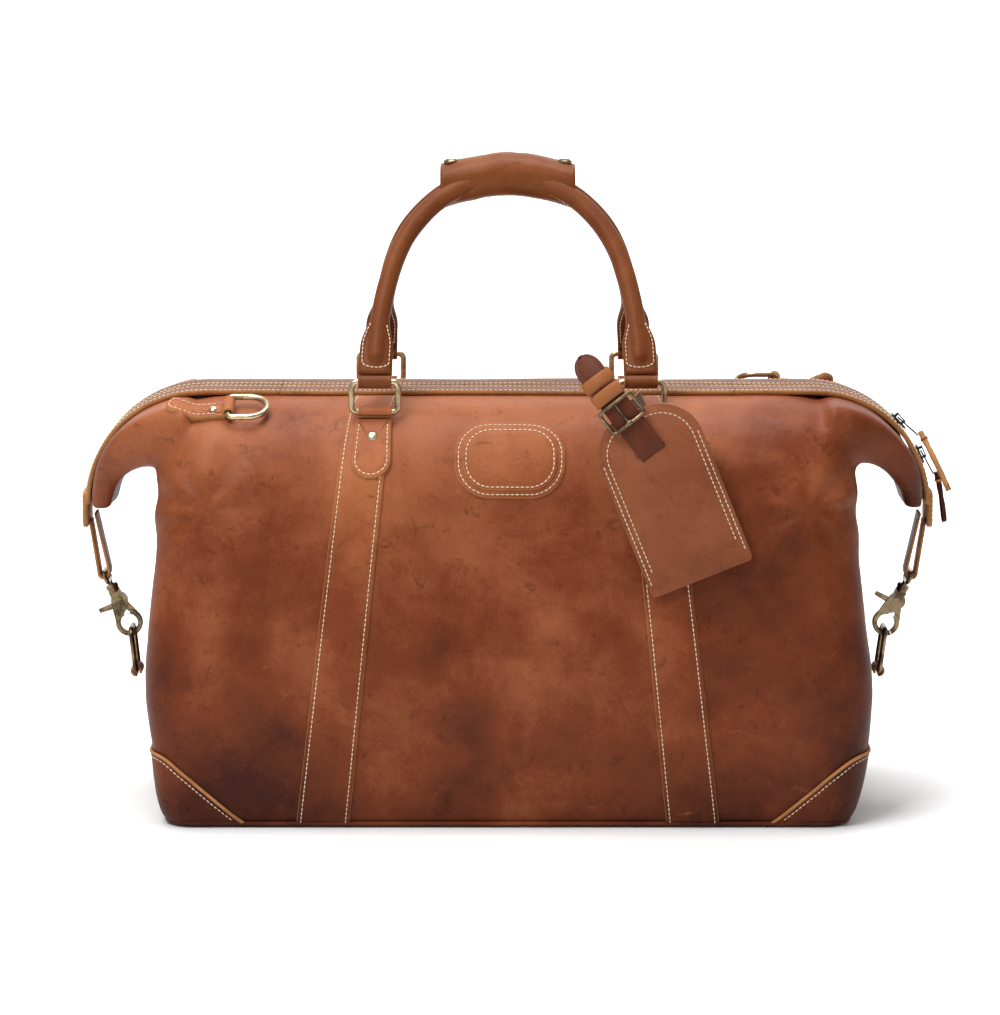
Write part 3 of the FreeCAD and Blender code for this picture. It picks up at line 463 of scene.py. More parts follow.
def sag(p, n):
    """Soft unevenness of the leather at a point in millimetres."""
    x, y, z = p
    low = max(0.0, min(1.0, (z - 4.0) / 26.0))
    top = max(0.0, min(1.0, (306.0 - z) / 20.0))
    q = V((x * 0.0075, y * 0.009, z * 0.0095))
    d = 2.6 * noise.noise(q + V((3.1, 0.4, 1.7)))
    d += 1.15 * noise.noise(q * 2.7 + V((0.3, 5.2, 2.2)))
    crease = noise.noise(V((x * 0.020, y * 0.020, z * 0.055)) + V((7.0, 1.0, 0.0)))
    d += 0.5 * (0.35 - abs(crease)) * max(0.0, min(1.0, (abs(x) - 120.0) / 90.0))
    # hollows beside the reinforcement straps and a soft belly between them
    for s in (-1, 1):
        mid = s * (133.0 - 0.128 * z)
        d -= 0.9 * math.exp(-(((x - mid - 30.0) / 14.0) ** 2))
        d -= 0.9 * math.exp(-(((x - mid + 30.0) / 14.0) ** 2))
    d += 1.0 * math.exp(-((x / 80.0) ** 2 + ((z - 120.0) / 80.0) ** 2))
    d += 2.6 * math.exp(-(((abs(y) - 66.0) / 15.0) ** 2)) * max(0.0, min(1.0, (z - 285.0) / 8.0)) \
        * max(0.0, min(1.0, (215.0 - abs(x)) / 40.0)) * (1.0 if y > 0 else 0.35)
    # pull of the ears: fans of folds running down from the top corners
    for s in (-1, 1):
        dx, dz = (s * x - 215.0) / 60.0, (z - 232.0) / 55.0
        near = math.exp(-(dx * dx + dz * dz))
        bend = math.atan2(dz, dx)
        d += 1.5 * near * math.sin(7.0 * bend + 1.3 * s + 0.02 * y)
    return d * low * top


def make_shell():
    build = Build()
    build.rows(body_rows())
    build.rows(wing_rows(1))
    build.rows(wing_rows(-1))
    obj = build.make("shell_form", [BODY])
    bpy.context.view_layer.objects.active = obj
    remesh = obj.modifiers.new("remesh", "REMESH")
    remesh.mode = "VOXEL"
    remesh.voxel_size = 0.0026
    graph = bpy.context.evaluated_depsgraph_get()
    mesh = bpy.data.meshes.new_from_object(obj.evaluated_get(graph))
    bpy.data.objects.remove(obj)
    bm = bmesh.new()
    bm.from_mesh(mesh)
    every_axis = {"use_axis_x": True, "use_axis_y": True, "use_axis_z": True}
    for _ in range(10):
        bmesh.ops.smooth_vert(bm, verts=bm.verts, factor=0.5, **every_axis)
    bm.normal_update()
    moves = [(v, v.normal.copy(), sag(v.co / MM, v.normal)) for v in bm.verts]
    for v, n, d in moves:
        v.co += n * d * MM
        v.co.z = max(v.co.z, 0.0)
    for _ in range(2):
        bmesh.ops.smooth_vert(bm, verts=bm.verts, factor=0.5, **every_axis)
    for v in bm.verts:
        if v.co.z < 0.0012:
            v.co.z = 0.0
    bm.normal_update()
    tree = BVHTree.FromBMesh(bm)
    hole_x, hole_y = (MOUTH_X + 0.4) * MM, 34.6 * MM
    for co, no in (((hole_x, 0, 0), X), ((-hole_x, 0, 0), X), ((0, hole_y, 0), Y), ((0, -hole_y, 0), Y)):
        near = list(bm.verts) + list(bm.edges) + list(bm.faces)
        bmesh.ops.bisect_plane(bm, geom=near, plane_co=co, plane_no=no)
    gone = []
    for f in bm.faces:
        c = f.calc_center_median()
        if abs(c.x) < hole_x and abs(c.y) < hole_y and c.z > 0.27:
            gone.append(f)
    bmesh.ops.delete(bm, geom=gone, context="FACES")
    mesh = bpy.data.meshes.new("bag_shell")
    bm.to_mesh(mesh)
    bm.free()
    mesh.materials.clear()
    mesh.materials.append(BODY)
    mesh.materials.append(FLESH)
    mesh.polygons.foreach_set("use_smooth", [True] * len(mesh.polygons))
    shell = bpy.data.objects.new("bag_shell", mesh)
    bpy.context.scene.collection.objects.link(shell)
    thick = shell.modifiers.new("thickness", "SOLIDIFY")
    thick.thickness = 0.002
    thick.offset = -1
    thick.material_offset = 1
    thick.material_offset_rim = 1
    return shell, tree


shell, SKIN = make_shell()
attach(shell, "bag")
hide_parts("front_panel", "back_panel", "left_end_panel", "right_end_panel", "base_panel")


def onto_skin(guess, direction, reach=40.0):
    """Nearest hit of the shell going from outside a guess point inwards, in millimetres, with its normal."""
    start = (guess + direction * reach) * MM
    hit, normal, _, _ = SKIN.ray_cast(start, -direction, 2.2 * reach * MM)
    if hit is None:
        return guess, direction
    return hit / MM, normal


# front section's profile, walked by distance from the floor
PROFILE = []
_steps = (len(LEVELS) - 1) * 12
_length = 0.0
for _k in range(_steps + 1):
    _z, _, _b, _ = catmull(LEVELS, _k / 12)
    if PROFILE:
        _length += math.hypot(_z - PROFILE[-1][1], _b - PROFILE[-1][2])
    PROFILE.append((_length, _z, _b))
PROFILE_END = _length


def profile(s):
    """Height and half depth at a distance s up the front's profile, and its outward direction in (y, z)."""
    s = min(max(s, 0.0), PROFILE_END - 0.01)
    k = max(i for i in range(len(PROFILE) - 1) if PROFILE[i][0] <= s)
    s0, z0, b0 = PROFILE[k]
    s1, z1, b1 = PROFILE[k + 1]
    t = (s - s0) / max(1e-6, s1 - s0)
    run = V((0, b0 - b1, z1 - z0)).normalized()
    return z0 + (z1 - z0) * t, b0 + (b1 - b0) * t, V((0, -run.z, run.y))


def profile_at_height(z):
    for (s0, z0, _), (s1, z1, _) in zip(PROFILE, PROFILE[1:]):
        if z0 <= z <= z1:
            return s0 + (s1 - s0) * (z - z0) / max(1e-6, z1 - z0)
    return PROFILE_END


def front_skin(x, s, side=-1):
    """Point on the shell's front (side -1) or back (1) at x and profile distance s, with its normal."""
    z, b, n = profile(s)
    if side > 0:
        n = V((0, -n.y, n.z))
    return onto_skin(V((x, side * b, z)), n)


EDGE_ROWS = ((0.0, -0.9), (0.0, 0.62), (0.30, 0.92), (0.9, 1.0), (2.0, 1.0), (2.9, 0.86), (3.7, 1.0))


def patch(build, outline, place, thick, base=0.0, rings=7, edge_slot=1):
    """Leather piece laid on a surface. outline is a closed list of flat points; place maps them."""
    n = len(outline)
    centre = V((sum(p[0] for p in outline) / n, sum(p[1] for p in outline) / n))
    flat = [V(p) for p in outline]
    inward = []
    for k in range(n):
        run = flat[(k + 1) % n] - flat[k - 1]
        inward.append(V((-run.y, run.x)).normalized())
    rows = []
    for inset, share in EDGE_ROWS:
        rows.append([(flat[k] + inward[k] * inset, share) for k in range(n)])
    last = rows[-1]
    for j in range(1, rings + 1):
        f = 1.0 - j / (rings + 0.5)
        rows.append([(centre + (p - centre) * f, 1.0) for p, _ in last])
    verts, faces, slots = [], [], []
    for row in rows:
        for p, share in row:
            q, up = place(p.x, p.y)
            verts.append(q + up * (base + thick * share))
    for r in range(len(rows) - 1):
        for k in range(n):
            a, b = r * n + k, r * n + (k + 1) % n
            faces.append((a, b, b + n, a + n))
            slots.append(edge_slot if r < 2 else 0)
    faces.append(tuple((len(rows) - 1) * n + k for k in range(n)))
    slots.append(0)
    faces.append(tuple(reversed(range(n))))
    slots.append(edge_slot)
    build.add(verts, faces, slots)


def patch_stitches(build, outline, place, height, inset=2.9, slot=2, skip=None):
    """Stitches along a patch's outline, inset from its edge."""
    n = len(outline)
    flat = [V(p) for p in outline]
    points, normals = [], []
    for k in list(range(n)) + [0]:
        run = flat[(k + 1) % n] - flat[k - 1]
        p = flat[k] + V((-run.y, run.x)).normalized() * inset
        if skip and skip(p):
            if len(points) > 2:
                stitch(build, points, normals, slot=slot)
            points, normals = [], []
            continue
        q, up = place(p.x, p.y)
        points.append(q + up * height)
        normals.append(up)
    if len(points) > 2:
        stitch(build, points, normals, slot=slot)


def strap_strip(build, place, length, half, thick, low=-0.7, steps=60, edge_slot=1, stitched=(2.9,), slot=2):
    """Long strip. place(s, w) gives a point and normal; half(s) its half width."""
    rows = []
    for k in range(steps + 1):
        s = length * k / steps
        h = half(s)
        row = []
        for inset, share in EDGE_ROWS:
            row.append((s, -h + inset, share))
        row.append((s, 0.0, 1.0))
        for inset, share in reversed(EDGE_ROWS):
            row.append((s, h - inset, share))
        rows.append(row)
    m = len(rows[0])
    verts, faces, slots = [], [], []
    for row in rows:
        for s, w, share in row:
            q, up = place(s, w)
            high = low if share < 0 else thick * share
            verts.append(q + up * high)
    for k in range(steps):
        for j in range(m):
            a, b = k * m + j, k * m + (j + 1) % m
            faces.append((a, b, b + m, a + m))
            slots.append(edge_slot if j in (0, 1, m - 3, m - 2, m - 1) else 0)
    faces.append(tuple(range(m)))
    slots.append(edge_slot)
    faces.append(tuple(reversed(range(steps * m, (steps + 1) * m))))
    slots.append(edge_slot)
    build.add(verts, faces, slots)
    for inset in stitched:
        for sign in (-1, 1):
            points, normals = [], []
            for k in range(steps * 2 + 1):
                s = length * k / (steps * 2)
                q, up = place(s, sign * (half(s) - inset))
                points.append(q + up * thick * 0.9)
                normals.append(up)
            stitch(build, points, normals, slot=slot)


SKINS = [TRIM, EDGE, THREAD]


def rounded_outline(half_x, half_y, radius, count=96, cx=0.0, cy=0.0):
    """Closed outline, anticlockwise."""
    return [(cx + x, cy + y) for (x, y), _ in plan_ring(half_x, half_y, radius, count)]


# ------------------------------------------------------------------ reinforcement straps
def make_straps():
    s_low, s_top = profile_at_height(4.0), PROFILE_END - 3.0
    length = s_top - s_low
    for side, name in ((-1, "front"), (1, "back")):
        build = Build()
        for end in (-1, 1):
            def place(s, w, end=end, side=side):
                t = s / length
                x = end * (133.0 + (95.0 - 133.0) * t + w * end)
                return front_skin(x, s_low + s, side)

            strap_strip(build, place, length, lambda s: 19.0 - 3.0 * s / length, 1.9, steps=110)
        strap = build.make(f"{name}_reinforcement_straps", SKINS)
        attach(strap, "bag")
        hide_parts(f"{name}_straps")


# ------------------------------------------------------------------ corner patches
def corner_outline(count=26):
    """Outline round the bag's corner as (distance round the plan from the corner's start, height)."""
    knots = [(-42.0, 2.0), (-39.5, 4.5), (-30.0, 13.5), (-20.0, 22.5), (-12.0, 29.5), (-5.0, 36.0), (2.0, 42.0),
             (8.0, 47.0), (14.0, 51.0), (22.0, 53.5), (30.0, 54.0)]
    curve = [tuple(catmull(knots, (len(knots) - 1) * k / count)) for k in range(count + 1)]
    right = [(30.0 + 40.0 * k / 12, 54.0) for k in range(1, 13)]
    down = [(70.0, 54.0 - 52.5 * k / 12) for k in range(1, 13)]
    floor = [(70.0 - 112.0 * k / 34, 1.5) for k in range(1, 34)]
    return list(reversed(curve + right + down + floor))


def make_corner_patches():
    for side, name in ((-1, "front"), (1, "back")):
        build = Build()
        for end in (-1, 1):
            def place(u, z, end=end, side=side):
                _, a, b, r = catmull(LEVELS, level_index(z))
                (x, y), (nx, ny) = plan_point(a, b, r, a - r + u)
                return onto_skin(V((end * x, -side * y, z)), V((end * nx, -side * ny, 0)))

            outline = corner_outline()
            patch(build, outline, place, 1.8, rings=9)
            patch_stitches(build, outline, place, 1.5, inset=3.4, skip=lambda p: p.y < 5.5 or p.x > 66.0)
            # piped edge along the curved side
            points = []
            for u, z in [p for p in outline if p[0] < 66.0 and p[1] > 3.0]:
                q, up = place(u, z)
                points.append(q + up * 1.3)
            if len(points) > 3:
                build.tube(points, 1.15, sides=10, slot=1)
        obj = build.make(f"{name}_corner_leather", SKINS)
        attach(obj, "bag")
        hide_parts(f"{name}_corner_patches")


def level_index(z):
    """Real index into LEVELS whose height is z."""
    lo, hi = 0.0, len(LEVELS) - 1.0
    for _ in range(30):
        mid = (lo + hi) / 2
        if catmull(LEVELS, mid)[0] < z:
            lo = mid
        else:
            hi = mid
    return (lo + hi) / 2


# ------------------------------------------------------------------ oval patch
def make_patch():
    s_mid = profile_at_height(267.5)

    def place(x, s):
        return front_skin(x + 1.5, s_mid + s)

    build = Build()
    outer = rounded_outline(39.5, 28.8, 25.0, 120)
    patch(build, outer, place, 1.6)
    patch_stitches(build, outer, place, 1.4, inset=2.8)
    back = build.make("oval_patch_backing", SKINS)
    build = Build()
    inner = rounded_outline(33.5, 23.0, 19.5, 110)
    patch(build, inner, place, 1.5, base=1.5)
    patch_stitches(build, inner, place, 2.8, inset=2.3)
    front = build.make("oval_patch_front", SKINS)
    for obj, node in ((back, "patch_back"), (front, "patch_front")):
        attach(obj, "bag")
        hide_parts(node)


# ------------------------------------------------------------------ zip
TRACK_END = ARC_X + TRACK_R * math.radians(89.0)


def track(s, y, h):
    """Point and normal on the zip track at a signed distance s from the middle."""
    side = 1 if s >= 0 else -1
    d = abs(s)
    wave = 0.7 * noise.noise(V((s * 0.012, y * 0.03, 4.0))) if d < 222 else 0.0
    if d <= ARC_X:
        return V((s, y, TRACK_Z + h + wave)), Z.copy()
    a = (d - ARC_X) / TRACK_R
    r = TRACK_R + h
    return (V((side * (ARC_X + r * math.sin(a)), y, ARC_Z + r * math.cos(a))),
            V((side * math.sin(a), 0, math.cos(a))))


def strip_half(s):
    d = abs(s)
    if d < ARC_X:
        return STRIP_HALF
    return STRIP_HALF + (STRIP_TIP - STRIP_HALF) * min(1.0, (d - ARC_X) / 100.0)


def zip_strip(build, s0, s1, side):
    """One leather strip beside the chain."""
    length = s1 - s0

    def middle(s):
        return (strip_half(s0 + s) + 4.6) / 2

    def place(s, w):
        return track(s0 + s, side * (middle(s) + w), 0.0)

    steps = max(8, int(length / 5.0))
    strap_strip(build, place, length, lambda s: (strip_half(s0 + s) - 4.6) / 2, 1.2, low=-2.2, steps=steps)


def teeth(build, s0, s1, side):
    """Zip teeth of one row, each a small bevelled block with a rounded nose."""
    pitch = 2.6
    first = math.ceil((s0 + 0.6) / pitch - (0.25 if side > 0 else -0.25))
    k = first
    while True:
        s = (k + (0.25 if side > 0 else -0.25)) * pitch
        if s > s1 - 0.7:
            break
        rows = []
        for y, long, low, high in ((-0.35, 0.45, -0.45, 0.45), (0.1, 0.62, -0.8, 0.85), (1.6, 0.62, -0.9, 1.0),
                                   (2.9, 0.75, -0.9, 1.0), (3.3, 0.55, -0.6, 0.7)):
            ring = []
            for ds, h in ((-long, low), (long, low), (long, high), (-long, high)):
                p, _ = track(s + ds, side * y, h)
                ring.append(p)
            rows.append(ring)
        build.rows(rows)
        k += 1


def make_zip():
    gap = 0.1
    spans = {"left_end": (-TRACK_END, -MOUTH_X - gap), "mouth": (-MOUTH_X, MOUTH_X),
             "right_end": (MOUTH_X + gap, TRACK_END)}
    for side, name in ((-1, "front"), (1, "back")):
        for span, (s0, s1) in spans.items():
            body = f"mouth_{name}" if span == "mouth" else "bag"
            build = Build()
            zip_strip(build, s0, s1, side)
            strip = build.make(f"{name}_{span}_zip_strip", [STRIPSKIN, EDGE, THREAD])
            build = Build()
            teeth(build, s0, s1, side)
            chain = build.make(f"{name}_{span}_zip_teeth", [TEETH])
            build = Build()

            def place(s, w, s0=s0, side=side):
                return track(s0 + s, side * (6.9 + w), -1.15)

            strap_strip(build, place, s1 - s0, lambda s: 5.9, 0.5, low=-0.3, steps=max(8, int((s1 - s0) / 6)),
                        stitched=(), edge_slot=0)
            tape = build.make(f"{name}_{span}_zip_tape", [TAPE])
            for obj, kind, slot in ((strip, "strip", "trim_leather"), (chain, "chain", "zip_metal"),
                                    (tape, "tape", "zip_tape")):
                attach(obj, body)
                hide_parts(f"mouth_{name}_{kind}" if span == "mouth" else f"zip_ends_{kind}")


# ------------------------------------------------------------------ handles
def handle_lean():
    rise = STEM * math.cos(math.radians(ARCH[0][0]))
    for start, end, radius in ARCH:
        rise += radius * (math.sin(math.radians(end)) - math.sin(math.radians(start)))
    return math.asin((RING_Y - GRIP_Y) / rise), rise


def handle_line():
    """Left half of the handle's centre line in its own plane, from the ring's bar to the top."""
    a = math.radians(ARCH[0][0])
    path = [(-STEM * math.sin(a) * k / 20, STEM * math.cos(a) * k / 20) for k in range(21)]
    for start, end, radius in ARCH:
        u, v = path[-1]
        for k in range(1, 25):
            b = math.radians(start + (end - start) * k / 24)
            s = math.radians(start)
            path.append((u - radius * (math.cos(s) - math.cos(b)), v + radius * (math.sin(b) - math.sin(s))))
    return path


def handle_flange(e):
    """Half width and half depth of the sewn end at a distance e from the ring's bar, and how boxy it is."""
    t = min(1.0, max(0.0, (e - 27.0) / 24.0))
    t = t * t * (3 - 2 * t)
    return 12.0 - 5.4 * t, 3.1 + 3.5 * t, 4.4 - 2.4 * t


def handle_radius(e, a):
    """Distance from the handle's line to its skin at the angle a: a sewn flange that the roll runs down into."""
    wide, deep, power = handle_flange(e)
    edge = (abs(math.cos(a) / wide) ** power + abs(math.sin(a) / deep) ** power) ** (-1.0 / power)
    t = min(1.0, max(0.0, (e - 9.0) / 9.0))
    roll = 6.6 * t * t * (3 - 2 * t)
    return max(edge, roll) + 0.35 * math.exp(-abs(edge - roll))


def make_handle(side, name):
    lean, rise = handle_lean()
    half = handle_line()
    width = -half[-1][0]
    slide = width - RING_X

    def at(u, v):
        x = u + RING_X + slide * min(1.0, max(0.0, (v) / rise))
        return V((x, side * (RING_Y - v * math.sin(lean)), PIVOT_Z + v * math.cos(lean)))

    right = [at(u, v) for u, v in half]
    right[-1].x = 0.0
    points = right + [V((-p.x, p.y, p.z)) for p in reversed(right[:-1])]
    # even spacing
    marks = [0.0]
    for a, b in zip(points, points[1:]):
        marks.append(marks[-1] + (b - a).length)
    total = marks[-1]
    steps = 150
    line = []
    k = 0
    for i in range(steps + 1):
        d = total * i / steps
        while k < len(marks) - 2 and marks[k + 1] < d:
            k += 1
        line.append((d, points[k].lerp(points[k + 1], (d - marks[k]) / max(1e-6, marks[k + 1] - marks[k]))))
    out = V((0, side * math.cos(lean), math.sin(lean)))     # the handle's outward face
    build = Build()
    rows = []
    flat = {False: [], True: []}
    for i, (d, p) in enumerate(line):
        e = min(d, total - d)
        if e < 5.5:
            continue
        run = (line[min(i + 1, steps)][1] - line[max(i - 1, 0)][1]).normalized()
        across = out.cross(run).normalized()
        swell = 1.0 + 0.035 * noise.noise(p * 0.05)
        row = []
        for j in range(44):
            a = 2 * math.pi * j / 44
            r = handle_radius(e, a) * swell
            row.append(p + across * (r * math.cos(a)) + out * (r * math.sin(a)))
        rows.append(row)
        if e < 46.0:
            flat[p.x > 0].append((e, p, across if across.x > 0 else -across))
    build.rows(rows)
    # loop of the end round the ring's top bar, both ends
    for end in (-1, 1):
        def place(s, w, end=end):
            a = math.radians(-62.0) + s / 3.65
            centre = V((end * RING_X + w, side * RING_Y, PIVOT_Z))
            up = V((0, side * math.cos(a) * math.cos(lean) + side * math.sin(a) * math.sin(lean),
                    math.cos(a) * math.sin(lean) - math.sin(a) * math.cos(lean))).normalized()
            return centre + up * 2.75, up

        strap_strip(build, place, 3.65 * math.radians(304.0), lambda s: 12.0, 1.9, low=0.0, steps=30, stitched=())
        # U of stitches on the flat part, on both faces
        stations = sorted(flat[end > 0], key=lambda station: station[0])
        low_e, high_e = 14.0, 43.0
        outline = [(-1.0, high_e - (high_e - low_e) * k / 14) for k in range(15)]
        outline += [(-math.cos(math.pi * k / 12), low_e - 4.0 * math.sin(math.pi * k / 12)) for k in range(1, 12)]
        outline += [(1.0, low_e + (high_e - low_e) * k / 14) for k in range(15)]
        for face in (1, -1):
            pts = []
            for share, e in outline:
                e0, p, across = min(stations, key=lambda station: abs(station[0] - e))
                p = p + (stations[-1][1] - stations[0][1]).normalized() * (e - e0)
                wide = handle_flange(e)[0] - 2.3
                a = math.atan2(1.0, 1.0)
                for _ in range(6):
                    a = math.acos(min(1.0, abs(share) * wide / handle_radius(e, a)))
                pts.append(p + across * share * wide + out * face * (handle_radius(e, a) * math.sin(a) + 0.1))
            stitch(build, pts, [out * face] * len(pts), slot=2, pitch=3.1, length=2.4)
    # seam along the inner side of the roll
    seam, up = [], []
    for i, (d, p) in enumerate(line):
        e = min(d, total - d)
        if e < 46.0:
            continue
        run = (line[min(i + 1, steps)][1] - line[max(i - 1, 0)][1]).normalized()
        across = out.cross(run).normalized()
        if across.dot(V((0, 0, 1))) > 0 and abs(p.x) < 40:
            across = -across
        middle = V((0, p.y, PIVOT_Z + 40.0)) - p
        if across.dot(middle) < 0:
            across = -across
        seam.append(p + across * 6.45)
        up.append(across)
    stitch(build, seam, up, slot=2, pitch=3.6, radius=0.36)
    obj = build.make(f"{name}_rolled_handle", [HANDLE, EDGE, THREAD])
    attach(obj, f"{name}_handle")
    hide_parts(f"{name}_handle")


# ------------------------------------------------------------------ grip
def grip_point(x, a, grow):
    """Point on the grip's rounded section at angle a (0 at the back, anticlockwise seen from +X)."""
    middle = (GRIP_HIGH + GRIP_LOW) / 2 - 8.0 * (x / GRIP_HALF) ** 2 + 1.5 * math.exp(-(x / 20.0) ** 2)
    half_z = (GRIP_HIGH - GRIP_LOW) / 2 + 0.9 * math.exp(-(x / 24.0) ** 2) + 1.4
    c, s = math.cos(a), math.sin(a)
    y = math.copysign(abs(c) ** 0.72, c) * GRIP_DEPTH
    z = math.copysign(abs(s) ** 0.72, s) * half_z
    pinch = 1.0 - 0.05 * math.cos(math.pi * x / GRIP_HALF)
    y *= 1.0 - 0.06 * (1 - (x / GRIP_HALF) ** 2)
    wobble = 0.7 * noise.noise(V((x * 0.05, c * 1.4, s * 1.4)))
    wobble += 0.35 * noise.noise(V((x * 0.15, c * 3.0, s * 3.0)))
    p = V((x, y, middle + z * pinch))
    n = V((0, y / GRIP_DEPTH ** 2, z / half_z ** 2)).normalized()
    return p + n * (grow + wobble), n


def grip_sheet(build, a0, a1, grow, half_x, thick=2.0, rows=36, cols=44, offset=None):
    verts, faces, slots = [], [], []
    layers = []
    for level in (grow - thick, grow):
        grid = []
        for i in range(cols + 1):
            x = -half_x + 2 * half_x * i / cols
            column = []
            for j in range(rows + 1):
                t = j / rows
                a = a0 + (a1 - a0) * t
                lift = level + (offset(t) if offset else 0.0)
                column.append(grip_point(x, a, lift)[0])
            grid.append(column)
        layers.append(grid)
    m = rows + 1
    for grid in layers:
        for column in grid:
            verts += column
    base = len(layers[0]) * m
    for i in range(cols):
        for j in range(rows):
            a = i * m + j
            faces.append((a, a + 1, a + m + 1, a + m))
            slots.append(3)
            faces.append((base + a, base + a + m, base + a + m + 1, base + a + 1))
            slots.append(0)
    for i in range(cols):
        a, b = i * m, (i + 1) * m
        faces.append((a, b, base + b, base + a))
        faces.append((a + rows, base + a + rows, base + b + rows, b + rows))
        slots += [1, 1]
    for j in range(rows):
        faces.append((j, base + j, base + j + 1, j + 1))
        a = cols * m + j
        faces.append((a, a + 1, base + a + 1, base + a))
        slots += [1, 1]
    build.add(verts, faces, slots)


def make_grip():
    build = Build()
    # front: up the front side from the seam underneath, over the top and down a little on the back
    start, end = math.radians(-91.0), math.radians(-295.0)
    grip_sheet(build, start, end, 0.0, GRIP_HALF, offset=lambda t: 2.2 * min(1.0, max(0.0, (t - 0.72) / 0.2)))
    front = build.make("grip_front_half", [HANDLE, EDGE, THREAD, FLESH])
    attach(front, "front_handle")
    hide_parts("grip_front")
    build = Build()
    grip_sheet(build, math.radians(-89.0), math.radians(92.0), 0.0, GRIP_HALF - 0.6)
    back = build.make("grip_back_half", [HANDLE, EDGE, THREAD, FLESH])
    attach(back, "back_handle")
    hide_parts("grip_back")
    build = Build()
    for side in (-1, 1):
        x = side * 41.0
        p, n = grip_point(x, math.radians(-270.0), 2.2)
        dome(build, p, n, 5.6, 2.1)
    caps = build.make("snap_cap_domes", [BRASS])
    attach(caps, "front_handle")
    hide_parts("snap_caps")


def dome(build, centre, up, radius, high, slot=0):
    """Pressed cap: a flange, a shallow groove and a crowned top."""
    side = up.orthogonal().normalized()
    other = up.cross(side)
    rows = []
    for r, h in ((1.0, -0.8), (1.03, 0.10), (0.97, 0.34), (0.84, 0.42), (0.78, 0.66), (0.60, 0.86), (0.35, 0.97),
                 (0.10, 1.0)):
        rows.append([centre + side * radius * r * math.cos(a) + other * radius * r * math.sin(a) + up * high * h
                     for a in (2 * math.pi * k / 28 for k in range(28))])
    build.rows(rows, slot=slot)


# ------------------------------------------------------------------ ring tabs, rivets
def make_ring_tabs():
    s_mid = profile_at_height(272.0)
    domes = Build()
    for side, name in ((-1, "front"), (1, "back")):
        build = Build()
        for end in (-1, 1):
            def place(x, s, end=end, side=side):
                return front_skin(end * (RING_X + 2.0 - 0.05 * s) + x, s_mid + s, side)

            outline = []
            low, high, half = -20.0, 26.0, 14.0
            for k in range(25):
                a = math.pi + math.pi * k / 24
                outline.append((half * math.cos(a), low + 13.0 + 13.0 * math.sin(a)))
            for k in range(1, 15):
                outline.append((half - 1.5 * k / 14, low + 13.0 + (high - low - 13.0) * k / 14))
            for k in range(1, 12):
                outline.append((half - 1.5 - (2 * half - 3.0) * k / 12, high))
            for k in range(0, 14):
                outline.append((-half + 1.5 - 1.5 * k / 14, high - (high - low - 13.0) * k / 14))
            patch(build, outline, place, 2.0, base=1.8)
            patch_stitches(build, outline, place, 3.6, inset=2.8, skip=lambda p: p.y > 22.5)
            p, n = place(0.0, 10.5)
            dome(domes, p + n * 3.7, n, 3.7, 1.5)
            # loop round the ring's lower bar
            centre = V((end * RING_X, side * RING_Y, RING_LOW))

            def loop(s, w, side=side, centre=centre):
                a = s / 3.65 - math.radians(25.0)
                up = V((0, side * math.cos(a), math.sin(a)))
                return centre + X * w + up * 2.75, up

            strap_strip(build, loop, 3.65 * math.radians(300.0), lambda s: 12.0, 1.9, low=0.0, steps=30, stitched=())
        obj = build.make(f"{name}_ring_tab_leather", SKINS)
        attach(obj, "bag")
        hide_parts(f"{name}_ring_tabs")
    return domes


# ------------------------------------------------------------------ D ring tabs
def make_dring_tabs(domes):
    build = Build()
    for end in (-1, 1):
        _, axis = BAR["front_dring" if end < 0 else "back_dring"]
        lifted_off = V((0, end * math.sin(_slope), math.cos(_slope)))
        foot = V((end * 200.0, end * 74.0, 293.75))

        def lifted(x, s, axis=axis, lifted_off=lifted_off, foot=foot, end=end):
            skin = 0.0
            for shift in (-6.0, 0.0, 6.0):
                spot = foot + X * end * (x + shift)
                hit, _ = onto_skin(spot, lifted_off, 20.0)
                skin += (hit - spot).dot(lifted_off) / 3
            plane = 3.9 - 2.6 * max(0.0, (x - 6.0) / 40.0)
            return foot + X * end * x + axis * s + lifted_off * max(plane, skin + 0.6), lifted_off

        outline = []
        half = 8.6
        for k in range(25):
            a = -math.pi / 2 + math.pi * k / 24
            outline.append((36.0 + 9.0 * math.cos(a), half * math.sin(a)))
        for k in range(1, 20):
            outline.append((36.0 - 34.0 * k / 20, half))
        for k in range(1, 8):
            outline.append((2.0, half - 2 * half * k / 8))
        for k in range(0, 20):
            outline.append((2.0 + 34.0 * k / 20, -half))
        patch(build, outline, lifted, 3.0, base=0.0, rings=6)
        patch_stitches(build, outline, lifted, 2.8, inset=2.4, skip=lambda p: p.x < 8.0)
        p, n = lifted(11.0, 0.0)
        dome(domes, p + n * 3.0, n, 3.1, 1.3)
        centre, axis = BAR["front_dring" if end < 0 else "back_dring"]

        def loop(s, w, centre=centre, axis=axis, end=end):
            away = X * end
            upward = axis.cross(away).normalized()
            if upward.z < 0:
                upward = -upward
            a = s / 3.6 - math.radians(150.0)
            up = (upward * math.cos(a) - away * math.sin(a)).normalized()
            return centre + axis * w + up * 2.7, up

        strap_strip(build, loop, 3.6 * math.radians(300.0), lambda s: half, 1.9, low=0.0, steps=30, stitched=())
    obj = build.make("dring_tab_leather", SKINS)
    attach(obj, "bag")
    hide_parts("dring_tabs")


_slope = math.radians(24.54)
BAR = {
    "front_dring": (V((-200.0, -77.32, 301.0)), V((0, math.cos(_slope), math.sin(_slope)))),
    "back_dring": (V((200.0, 77.32, 301.0)), V((0, -math.cos(_slope), math.sin(_slope)))),
}


